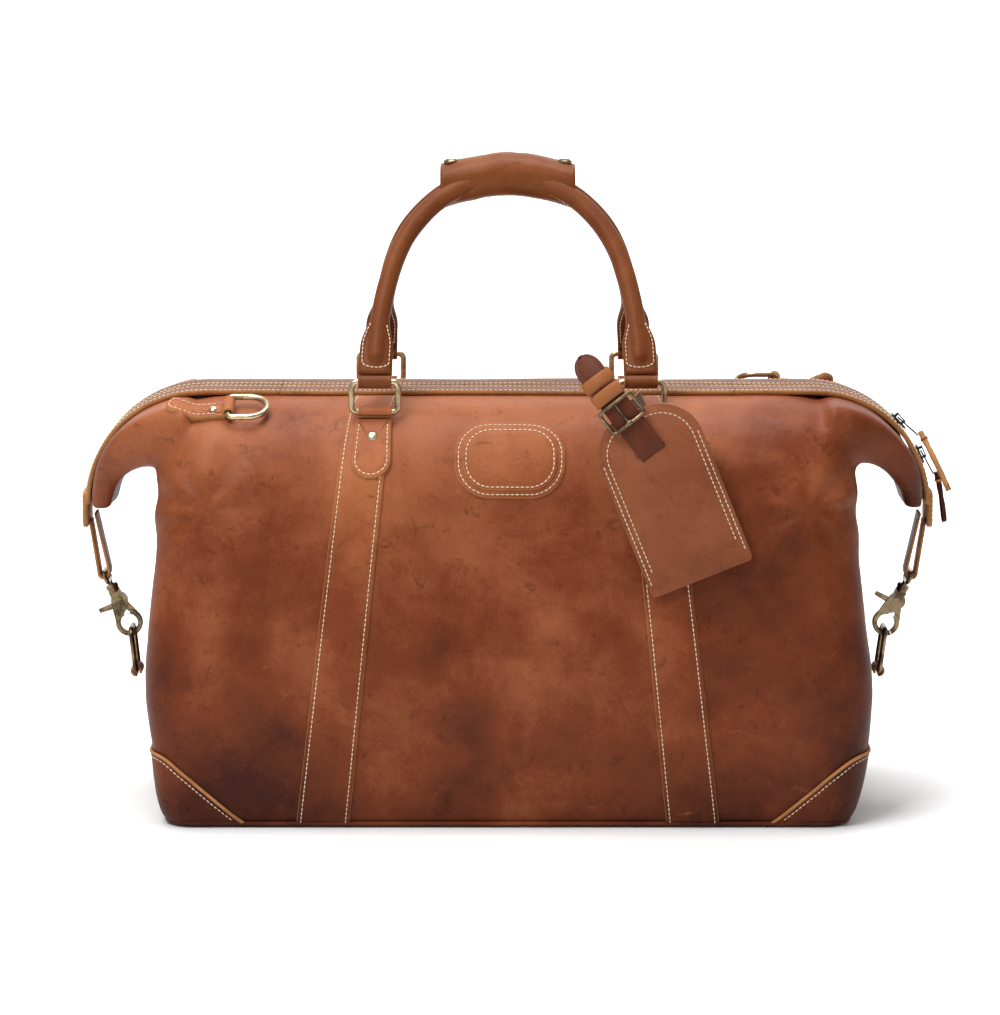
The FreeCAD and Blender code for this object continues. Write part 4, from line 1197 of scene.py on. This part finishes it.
# ------------------------------------------------------------------ wing ends
def make_wing_ends():
    tip = ARC_X + TRACK_R
    build = Build()
    straps = Build()
    tabs = Build()
    for end in (-1, 1):
        def place(y, z, end=end):
            bulge = 0.9 * math.cos(y / 20.0 * 1.2)
            return V((end * (tip + 1.0 + bulge), end * y, z)), X * end

        outline = rounded_outline(19.5, 13.0, 3.0, 90, 0.0, 217.0)
        patch(build, outline, place, 2.0, rings=5)
        patch_stitches(build, outline, place, 1.8, inset=2.6)
        # strap folded through the hook's eye: down the inner side, round the bar and up the outer side
        bar = V((end * 297.5, 0, 168.1))
        path = []
        for k in range(13):
            t = k / 12
            path.append(V((end * (303.0 - (303.0 - 293.7) * t), 0, 213.0 - (213.0 - 170.5) * t)))
        for k in range(1, 16):
            a = math.radians(172.0 + 196.0 * k / 16)
            path.append(bar + V((end * 3.8 * math.cos(a), 0, 3.8 * math.sin(a))))
        for k in range(13):
            t = k / 12
            path.append(V((end * (301.4 + (307.0 - 301.4) * t), 0, 169.5 + (207.0 - 169.5) * t)))
        marks = [0.0]
        for a, b in zip(path, path[1:]):
            marks.append(marks[-1] + (b - a).length)

        def run(s, w, path=path, marks=marks, end=end):
            k = 0
            while k < len(marks) - 2 and marks[k + 1] < s:
                k += 1
            t = (s - marks[k]) / max(1e-6, marks[k + 1] - marks[k])
            along = (path[k + 1] - path[k]).normalized()
            before = (path[k] - path[max(k - 1, 0)]).normalized() if k else along
            along = before.lerp(along, min(1.0, t + 0.5)).normalized()
            up = V((0, 1, 0)).cross(along).normalized() * end
            if (path[k] - bar).dot(up) < 0 and 12 <= k <= 28:
                up = -up
            return path[k].lerp(path[k + 1], t) + Y * w * end, up

        mid_up = run(marks[20], 0.0)[1]
        flip = 1.0 if (path[20] - bar).dot(mid_up) > 0 else -1.0

        def run2(s, w, run=run, flip=flip):
            p, up = run(s, w * flip)
            return p, up * flip

        strap_strip(straps, run2, marks[-1], lambda s: 10.0, 1.0, low=-1.0, steps=70, stitched=())
        # side ring tab: tongue on the end panel and loop round the ring's lower bar
        def side_place(y, z, end=end):
            _, a, _, _ = catmull(LEVELS, level_index(z))
            return onto_skin(V((end * a, end * y, z)), X * end)

        outline = []
        for k in range(25):
            a = math.pi + math.pi * k / 24
            outline.append((10.0 * math.cos(a), 40.0 + 9.0 * math.sin(a)))
        for k in range(1, 20):
            outline.append((10.0, 40.0 + 50.0 * k / 20))
        for k in range(0, 8):
            outline.append((10.0 - 20.0 * k / 8, 90.0))
        for k in range(0, 20):
            outline.append((-10.0, 90.0 - 50.0 * k / 20))
        patch(tabs, outline, side_place, 2.0, rings=6)
        patch_stitches(tabs, outline, side_place, 1.8, inset=2.5, skip=lambda p: p.y > 86.0)
        low_bar = V((end * 274.5, 0, 95.0))

        def loop(s, w, end=end, low_bar=low_bar):
            a = s / 3.4 - math.radians(95.0)
            up = V((end * math.cos(a), 0, math.sin(a)))
            return low_bar + Y * w * end + up * 2.4, up

        strap_strip(tabs, loop, 3.4 * math.radians(305.0), lambda s: 10.0, 2.0, low=0.0, steps=30, stitched=())
    for data, name, node in ((build, "wing_end_tab_leather", "wing_end_tabs"),
                             (straps, "hook_strap_leather", "hook_straps"),
                             (tabs, "side_ring_tab_leather", "side_ring_tabs")):
        obj = data.make(name, SKINS)
        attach(obj, "bag")
        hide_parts(node)


# ------------------------------------------------------------------ luggage tag
def tag_frame():
    return Matrix.Translation(TAG_TOP) @ Matrix.Rotation(math.radians(-TAG_TILT), 4, "Y")


def make_tag():
    place_matrix = tag_frame()
    facing = (place_matrix.to_3x3() @ V((0, -1, 0))).normalized()

    def outline_points(grow=0.0, count=24):
        half, top, bottom, r = TAG_W / 2 + grow, 30.0 + grow, 30.0 - TAG_L - grow, TAG_R
        points = []
        for k in range(30):
            points.append((-half + 2 * half * k / 30, bottom))
        for k in range(34):
            points.append((half, bottom + (top - r - bottom) * k / 34))
        for k in range(count):
            a = math.pi / 2 * k / count
            points.append((half - r + r * math.cos(a), top - r + r * math.sin(a)))
        for k in range(8):
            points.append((half - r - (2 * half - 2 * r) * k / 8, top))
        for k in range(count):
            a = math.pi / 2 + math.pi / 2 * k / count
            points.append((-half + r + r * math.cos(a), top - r + r * math.sin(a)))
        for k in range(34):
            points.append((-half, top - r - (top - r - bottom) * k / 34))
        return points

    def place(x, z):
        bow = 1.2 * math.sin((z - 30.0) / TAG_L * math.pi) + 0.7 * (x / 37.0) ** 2 * math.cos(z / 30.0)
        return place_matrix @ V((x, 0.2 + bow * 0.35, z)), facing

    def back_place(x, z):
        p, _ = place(x, z)
        return p - facing * 2.2, facing

    outline = outline_points()
    straight = TAG_L - TAG_R
    arch = TAG_R * math.radians(88.0)

    def face(place):
        def at(s, w):
            z = 30.0 - TAG_L + s if s < straight else 30.0 - TAG_R + TAG_R * math.sin((s - straight) / TAG_R)
            return place(w, z)
        return at

    def half(s):
        nip = 2.0 * math.exp(-s / 1.2)
        return TAG_W / 2 - nip if s < straight else TAG_W / 2 - TAG_R * (1 - math.cos((s - straight) / TAG_R))

    build = Build()
    strap_strip(build, face(place), straight + arch, half, 1.9, low=0.0, steps=90, edge_slot=0, stitched=())
    # double row down the sides, arch of stitches at the top
    patch_stitches(build, outline, place, 1.75, inset=6.6, skip=lambda p: p.y < -84.0)
    patch_stitches(build, outline, place, 1.75, inset=2.9, skip=lambda p: p.y < -92.0 or p.y > 2.0)
    # slot's bound edge
    ring = []
    for (x, z), _ in plan_ring(12.2, 3.2, 2.4, 40):
        p, up = place(x, z)
        ring.append(p + up * 1.9)
    build.tube(ring, 0.5, sides=8, closed=True, slot=0)
    front = build.make("tag_front_leather", [TAGSKIN, EDGE, THREAD])
    build = Build()
    strap_strip(build, face(back_place), straight + arch, half, 1.7, low=0.0, steps=90, edge_slot=0, stitched=())
    back = build.make("tag_back_leather", [TAGSKIN, EDGE, THREAD])
    for obj, node in ((front, "tag_front"), (back, "tag_back")):
        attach(obj, "luggage_tag")
        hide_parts(node)


def make_tag_strap():
    a = math.radians(38.0)
    up = V((-math.sin(a), 0, math.cos(a)))
    wide = V((math.cos(a), 0, math.sin(a)))
    front_y = TAG_TOP.y - 5.2

    def centre(s):
        dip = 0.0
        if s > 50:
            dip = 14.0 * ((s - 50.0) / 32.0) ** 1.5
        if s < 4:
            dip = 3.6 * (1 - (s + 3.5) / 7.5)
        bump = 1.1 * math.exp(-((s - 33.0) / 5.0) ** 2)
        p = TAG_TOP + up * s
        return V((p.x, front_y + dip - bump, p.z))

    build = Build()
    length = 85.5

    def place(s, w):
        p0, p1 = centre(s - 3.5 - 0.2), centre(s - 3.5 + 0.2)
        run = (p1 - p0).normalized()
        n = wide.cross(run).normalized()
        if n.y > 0:
            n = -n
        return centre(s - 3.5) + wide * w, n

    def half(s):
        tip = max(0.0, s - 74.0) / 11.6
        return 10.0 * math.sqrt(max(0.02, 1 - min(1.0, tip) ** 2))

    strap_strip(build, place, length, half, 1.0, low=-1.0, steps=70, stitched=(), slot=2)
    # the strap's other leg, flesh side out, from the buckle up to the handle's ring
    leg_start, leg_end = centre(30.0) + V((3.0, 4.2, 0.0)), V((97.0, -92.5, 306.0))
    leg = leg_end - leg_start
    leg_wide = leg.cross(Y).normalized()

    def leg_place(s, w):
        return leg_start + leg * (s / leg.length) + leg_wide * w, leg_wide.cross(leg).normalized() * -1.0

    strap_strip(build, leg_place, leg.length, lambda s: 9.0, 1.0, low=-1.0, steps=14, edge_slot=3, stitched=())
    strap = build.make("tag_strap_leather", [STRAPSKIN, STRAPSKIN, THREAD, FLESH])
    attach(strap, "luggage_tag")
    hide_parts("tag_strap")
    build = Build()
    for k, s_mid in enumerate((50.5, 61.5)):
        points = []
        for j in range(40):
            b = 2 * math.pi * j / 40
            w = math.copysign(abs(math.cos(b)) ** 0.4, math.cos(b)) * 11.2
            h = math.copysign(abs(math.sin(b)) ** 0.6, math.sin(b)) * 2.6
            p = centre(s_mid)
            points.append(p + wide * w + V((0, h, 0)) + up * 0.25 * math.sin(3 * b + k))
        n = len(points)
        rows = []
        mid = sum(points, V()) / n
        for j, p in enumerate(points):
            outw = (p - mid)
            outw = (outw - up * outw.dot(up)).normalized()
            rows.append([p - up * 4.9 - outw * 0.1, p - up * 4.5 + outw * 0.8, p + outw * 1.0,
                         p + up * 4.5 + outw * 0.8, p + up * 4.9 - outw * 0.1, p - outw * 0.6])
        build.rows(rows, closed=True)
    keepers = build.make("tag_strap_keepers", [KEEPER])
    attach(keepers, "luggage_tag")
    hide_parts("tag_keepers")
    build = Build()
    frame_pts = []
    c = centre(34.0)
    for (w, s), _ in plan_ring(13.4, 9.0, 2.4, 64):
        arch = -1.6 - 1.3 * (1 - (w / 13.4) ** 2)
        frame_pts.append(c + wide * w + up * s + V((0, arch, 0)))
    build.tube(frame_pts, 1.35, sides=12, closed=True)
    prong = [c + up * (-8.6) + V((0, -2.6, 0)) + up * (18.6 * k / 10) + V((0, -1.2 * math.sin(math.pi * k / 10), 0))
             for k in range(11)]
    build.tube(prong, 1.0, sides=10)
    hinge = [c + up * (-8.8) + wide * w + V((0, -2.4, 0)) for w in (-2.4, -1.2, 0.0, 1.2, 2.4)]
    build.tube(hinge, 2.0, sides=14)
    buckle = build.make("tag_buckle_cast", [BRASS])
    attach(buckle, "luggage_tag")
    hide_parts("tag_buckle")


# ------------------------------------------------------------------ zip pulls
def make_pulls():
    for name in ("upper", "lower"):
        low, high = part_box(f"{name}_pull")
        low, high = low / MM, high / MM
        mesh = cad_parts[f"{name}_pull"].data
        points = [v.co / MM for v in mesh.vertices]
        upper = [p for p in points if p.z > high.z - 3.0]
        under = [p for p in points if p.z < low.z + 3.0]
        start, end = sum(upper, V()) / len(upper), sum(under, V()) / len(under)
        run = end - start
        length = run.length
        across = (Y - run.normalized() * Y.dot(run.normalized())).normalized()
        up = across.cross(run.normalized()).normalized()
        if up.x < 0:
            up = -up

        def place(s, w, start=start, run=run, across=across, up=up, length=length):
            t = s / length
            curl = 1.2 * math.sin(t * math.pi)
            return start + run * t + across * w + up * (curl * 0.4), up

        build = Build()

        def half(s, length=length):
            t = s / length
            nose = min(1.0, (length - s) / 3.0 + 0.35)
            return (2.6 + 1.6 * min(1.0, max(0.0, (t - 0.15) / 0.2))) * nose

        rows = []
        for k in range(31):
            s = length * k / 30
            h = half(s)
            ring = []
            fat = 1.9 + 0.5 * noise.noise(V((s * 0.25, h, length)))
            for w, d in ((-h, -0.9), (0, -1.1), (h, -0.9), (h + 0.1, 0.0), (h, 0.9), (0, 1.1), (-h, 0.9),
                         (-h - 0.1, 0.0)):
                p, u = place(s, w)
                ring.append(p + u * d * fat)
            rows.append(ring)
        build.rows(rows, slot=0)
        # wrap of leather where the strip is knotted through the wire link
        band = []
        for j in range(20):
            b = 2 * math.pi * j / 20
            p, u = place(6.0, 3.5 * math.cos(b))
            band.append(p + u * 2.0 * math.sin(b))
        build.tube(band, 1.0, sides=8, closed=True, slot=1)
        # painted shade: the lower pull gets the darker trim leather, the upper pull the pale raw-edge leather; the
        # lower one's darkness is painted shade
        obj = build.make(f"{name}_pull_leather", [TRIM if name == "lower" else EDGE, EDGE])
        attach(obj, f"{name}_pull")
        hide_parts(f"{name}_pull")


# ------------------------------------------------------------------ lining
def make_lining():
    rows = body_rows(-3.6, 140, 4, 8)
    moved = []
    for k, row in enumerate(rows):
        ring = []
        for p in row:
            n = V((p.x / 60.0, p.y / 30.0, 0)).normalized()
            w = 0.9 * noise.noise(p * 0.03) + 0.7 * noise.noise(V((p.x * 0.06, p.y * 0.06, p.z * 0.02)))
            ring.append(p - n * (0.6 + abs(w)) + Z * (2.6 if k == 0 else 0.0))
        moved.append(ring)
    n, m = len(moved), len(moved[0])
    verts = [v for row in moved for v in row]
    faces = []
    for k in range(n - 1):
        for j in range(m):
            a, b = k * m + j, k * m + (j + 1) % m
            faces.append((a, b, b + m, a + m))
    faces.append(tuple(reversed(range(m))))
    obj = new_object("lining_bag", verts, faces, [LINING])
    thick = obj.modifiers.new("thickness", "SOLIDIFY")
    thick.thickness = 0.0008
    thick.offset = 0
    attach(obj, "bag")
    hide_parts("lining")


make_straps()
make_corner_patches()
make_patch()
make_zip()
make_handle(-1, "front")
make_handle(1, "back")
make_grip()
rivet_domes = make_ring_tabs()
make_dring_tabs(rivet_domes)
rivets = rivet_domes.make("dome_rivets", [GILT])
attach(rivets, "bag")
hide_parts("rivets")
make_wing_ends()
make_tag()
make_tag_strap()
make_pulls()
make_lining()

NODE_MATERIALS = {
    GILT: ["front_rings", "back_rings", "front_dring", "back_dring"],
    BRASS: ["hook_eyes", "side_rings", "left_hook", "right_hook", "left_hook_gate", "right_hook_gate"],
    BLACK: ["upper_slider", "lower_slider", "upper_puller", "lower_puller"],
    TRIM: ["base_piping"],
    BOARD: ["base_board", "tag_card"],
    THREAD: ["front_handle_rope", "back_handle_rope"],
}
for material, names in NODE_MATERIALS.items():
    for node in names:
        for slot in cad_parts[node].material_slots:
            slot.material = material


# ------------------------------------------------------------------ floor, lights, camera
def make_stage():
    n = Nodes("floor_white")
    n.join(n.ramp(n.noise(3.0), [(0.3, 0.93), (0.7, 0.95)]), n.shader.inputs["Base Color"])
    n.shader.inputs["Roughness"].default_value = 0.7
    bm = bmesh.new()
    rows = []
    for y, z in [(-6.0, 0.0), (2.5, 0.0)] + [
        (2.5 + 2.0 * math.sin(math.radians(a)), 2.0 - 2.0 * math.cos(math.radians(a))) for a in range(10, 91, 10)
    ] + [(4.5, 7.0)]:
        rows.append([bm.verts.new((x, y, z)) for x in (-9.0, 9.0)])
    for a, b in zip(rows, rows[1:]):
        bm.faces.new((a[0], a[1], b[1], b[0]))
    mesh = bpy.data.meshes.new("floor")
    bm.to_mesh(mesh)
    bm.free()
    mesh.materials.append(n.material)
    mesh.polygons.foreach_set("use_smooth", [True] * len(mesh.polygons))
    floor = bpy.data.objects.new("floor", mesh)
    bpy.context.scene.collection.objects.link(floor)


def area_light(name, place, target, size, watts, colour=(1, 1, 1)):
    data = bpy.data.lights.new(name, "AREA")
    data.shape = "RECTANGLE"
    data.size, data.size_y = size
    data.energy = watts
    data.color = colour
    obj = bpy.data.objects.new(name, data)
    obj.location = place
    obj.rotation_euler = (V(target) - V(place)).to_track_quat("-Z", "Y").to_euler()
    bpy.context.scene.collection.objects.link(obj)


def make_light():
    world = bpy.data.worlds.new("studio")
    world.use_nodes = True
    world.node_tree.nodes["Background"].inputs["Color"].default_value = (1.0, 1.0, 1.0, 1)
    world.node_tree.nodes["Background"].inputs["Strength"].default_value = 0.42
    bpy.context.scene.world = world
    area_light("key", (-0.9, -1.5, 2.1), (-0.05, 0, 0.2), (1.1, 0.8), 38)
    area_light("top", (-0.1, 0.1, 2.2), (0, 0, 0.2), (1.8, 1.0), 46)
    area_light("backdrop", (0.0, 1.1, 2.6), (0, 4.0, 1.0), (3.0, 0.8), 150)
    bpy.context.scene.view_settings.view_transform = "Standard"


def make_camera():
    data = bpy.data.cameras.new("camera")
    data.lens = 152.0
    data.sensor_width = 36.0
    data.clip_end = 60.0
    camera = bpy.data.objects.new("camera", data)
    camera.location = (-0.0056, -3.12, 0.71)
    camera.rotation_euler = (math.radians(90.0 - 9.0), 0, 0)
    bpy.context.scene.collection.objects.link(camera)
    bpy.context.scene.camera = camera


make_stage()
make_light()
make_camera()
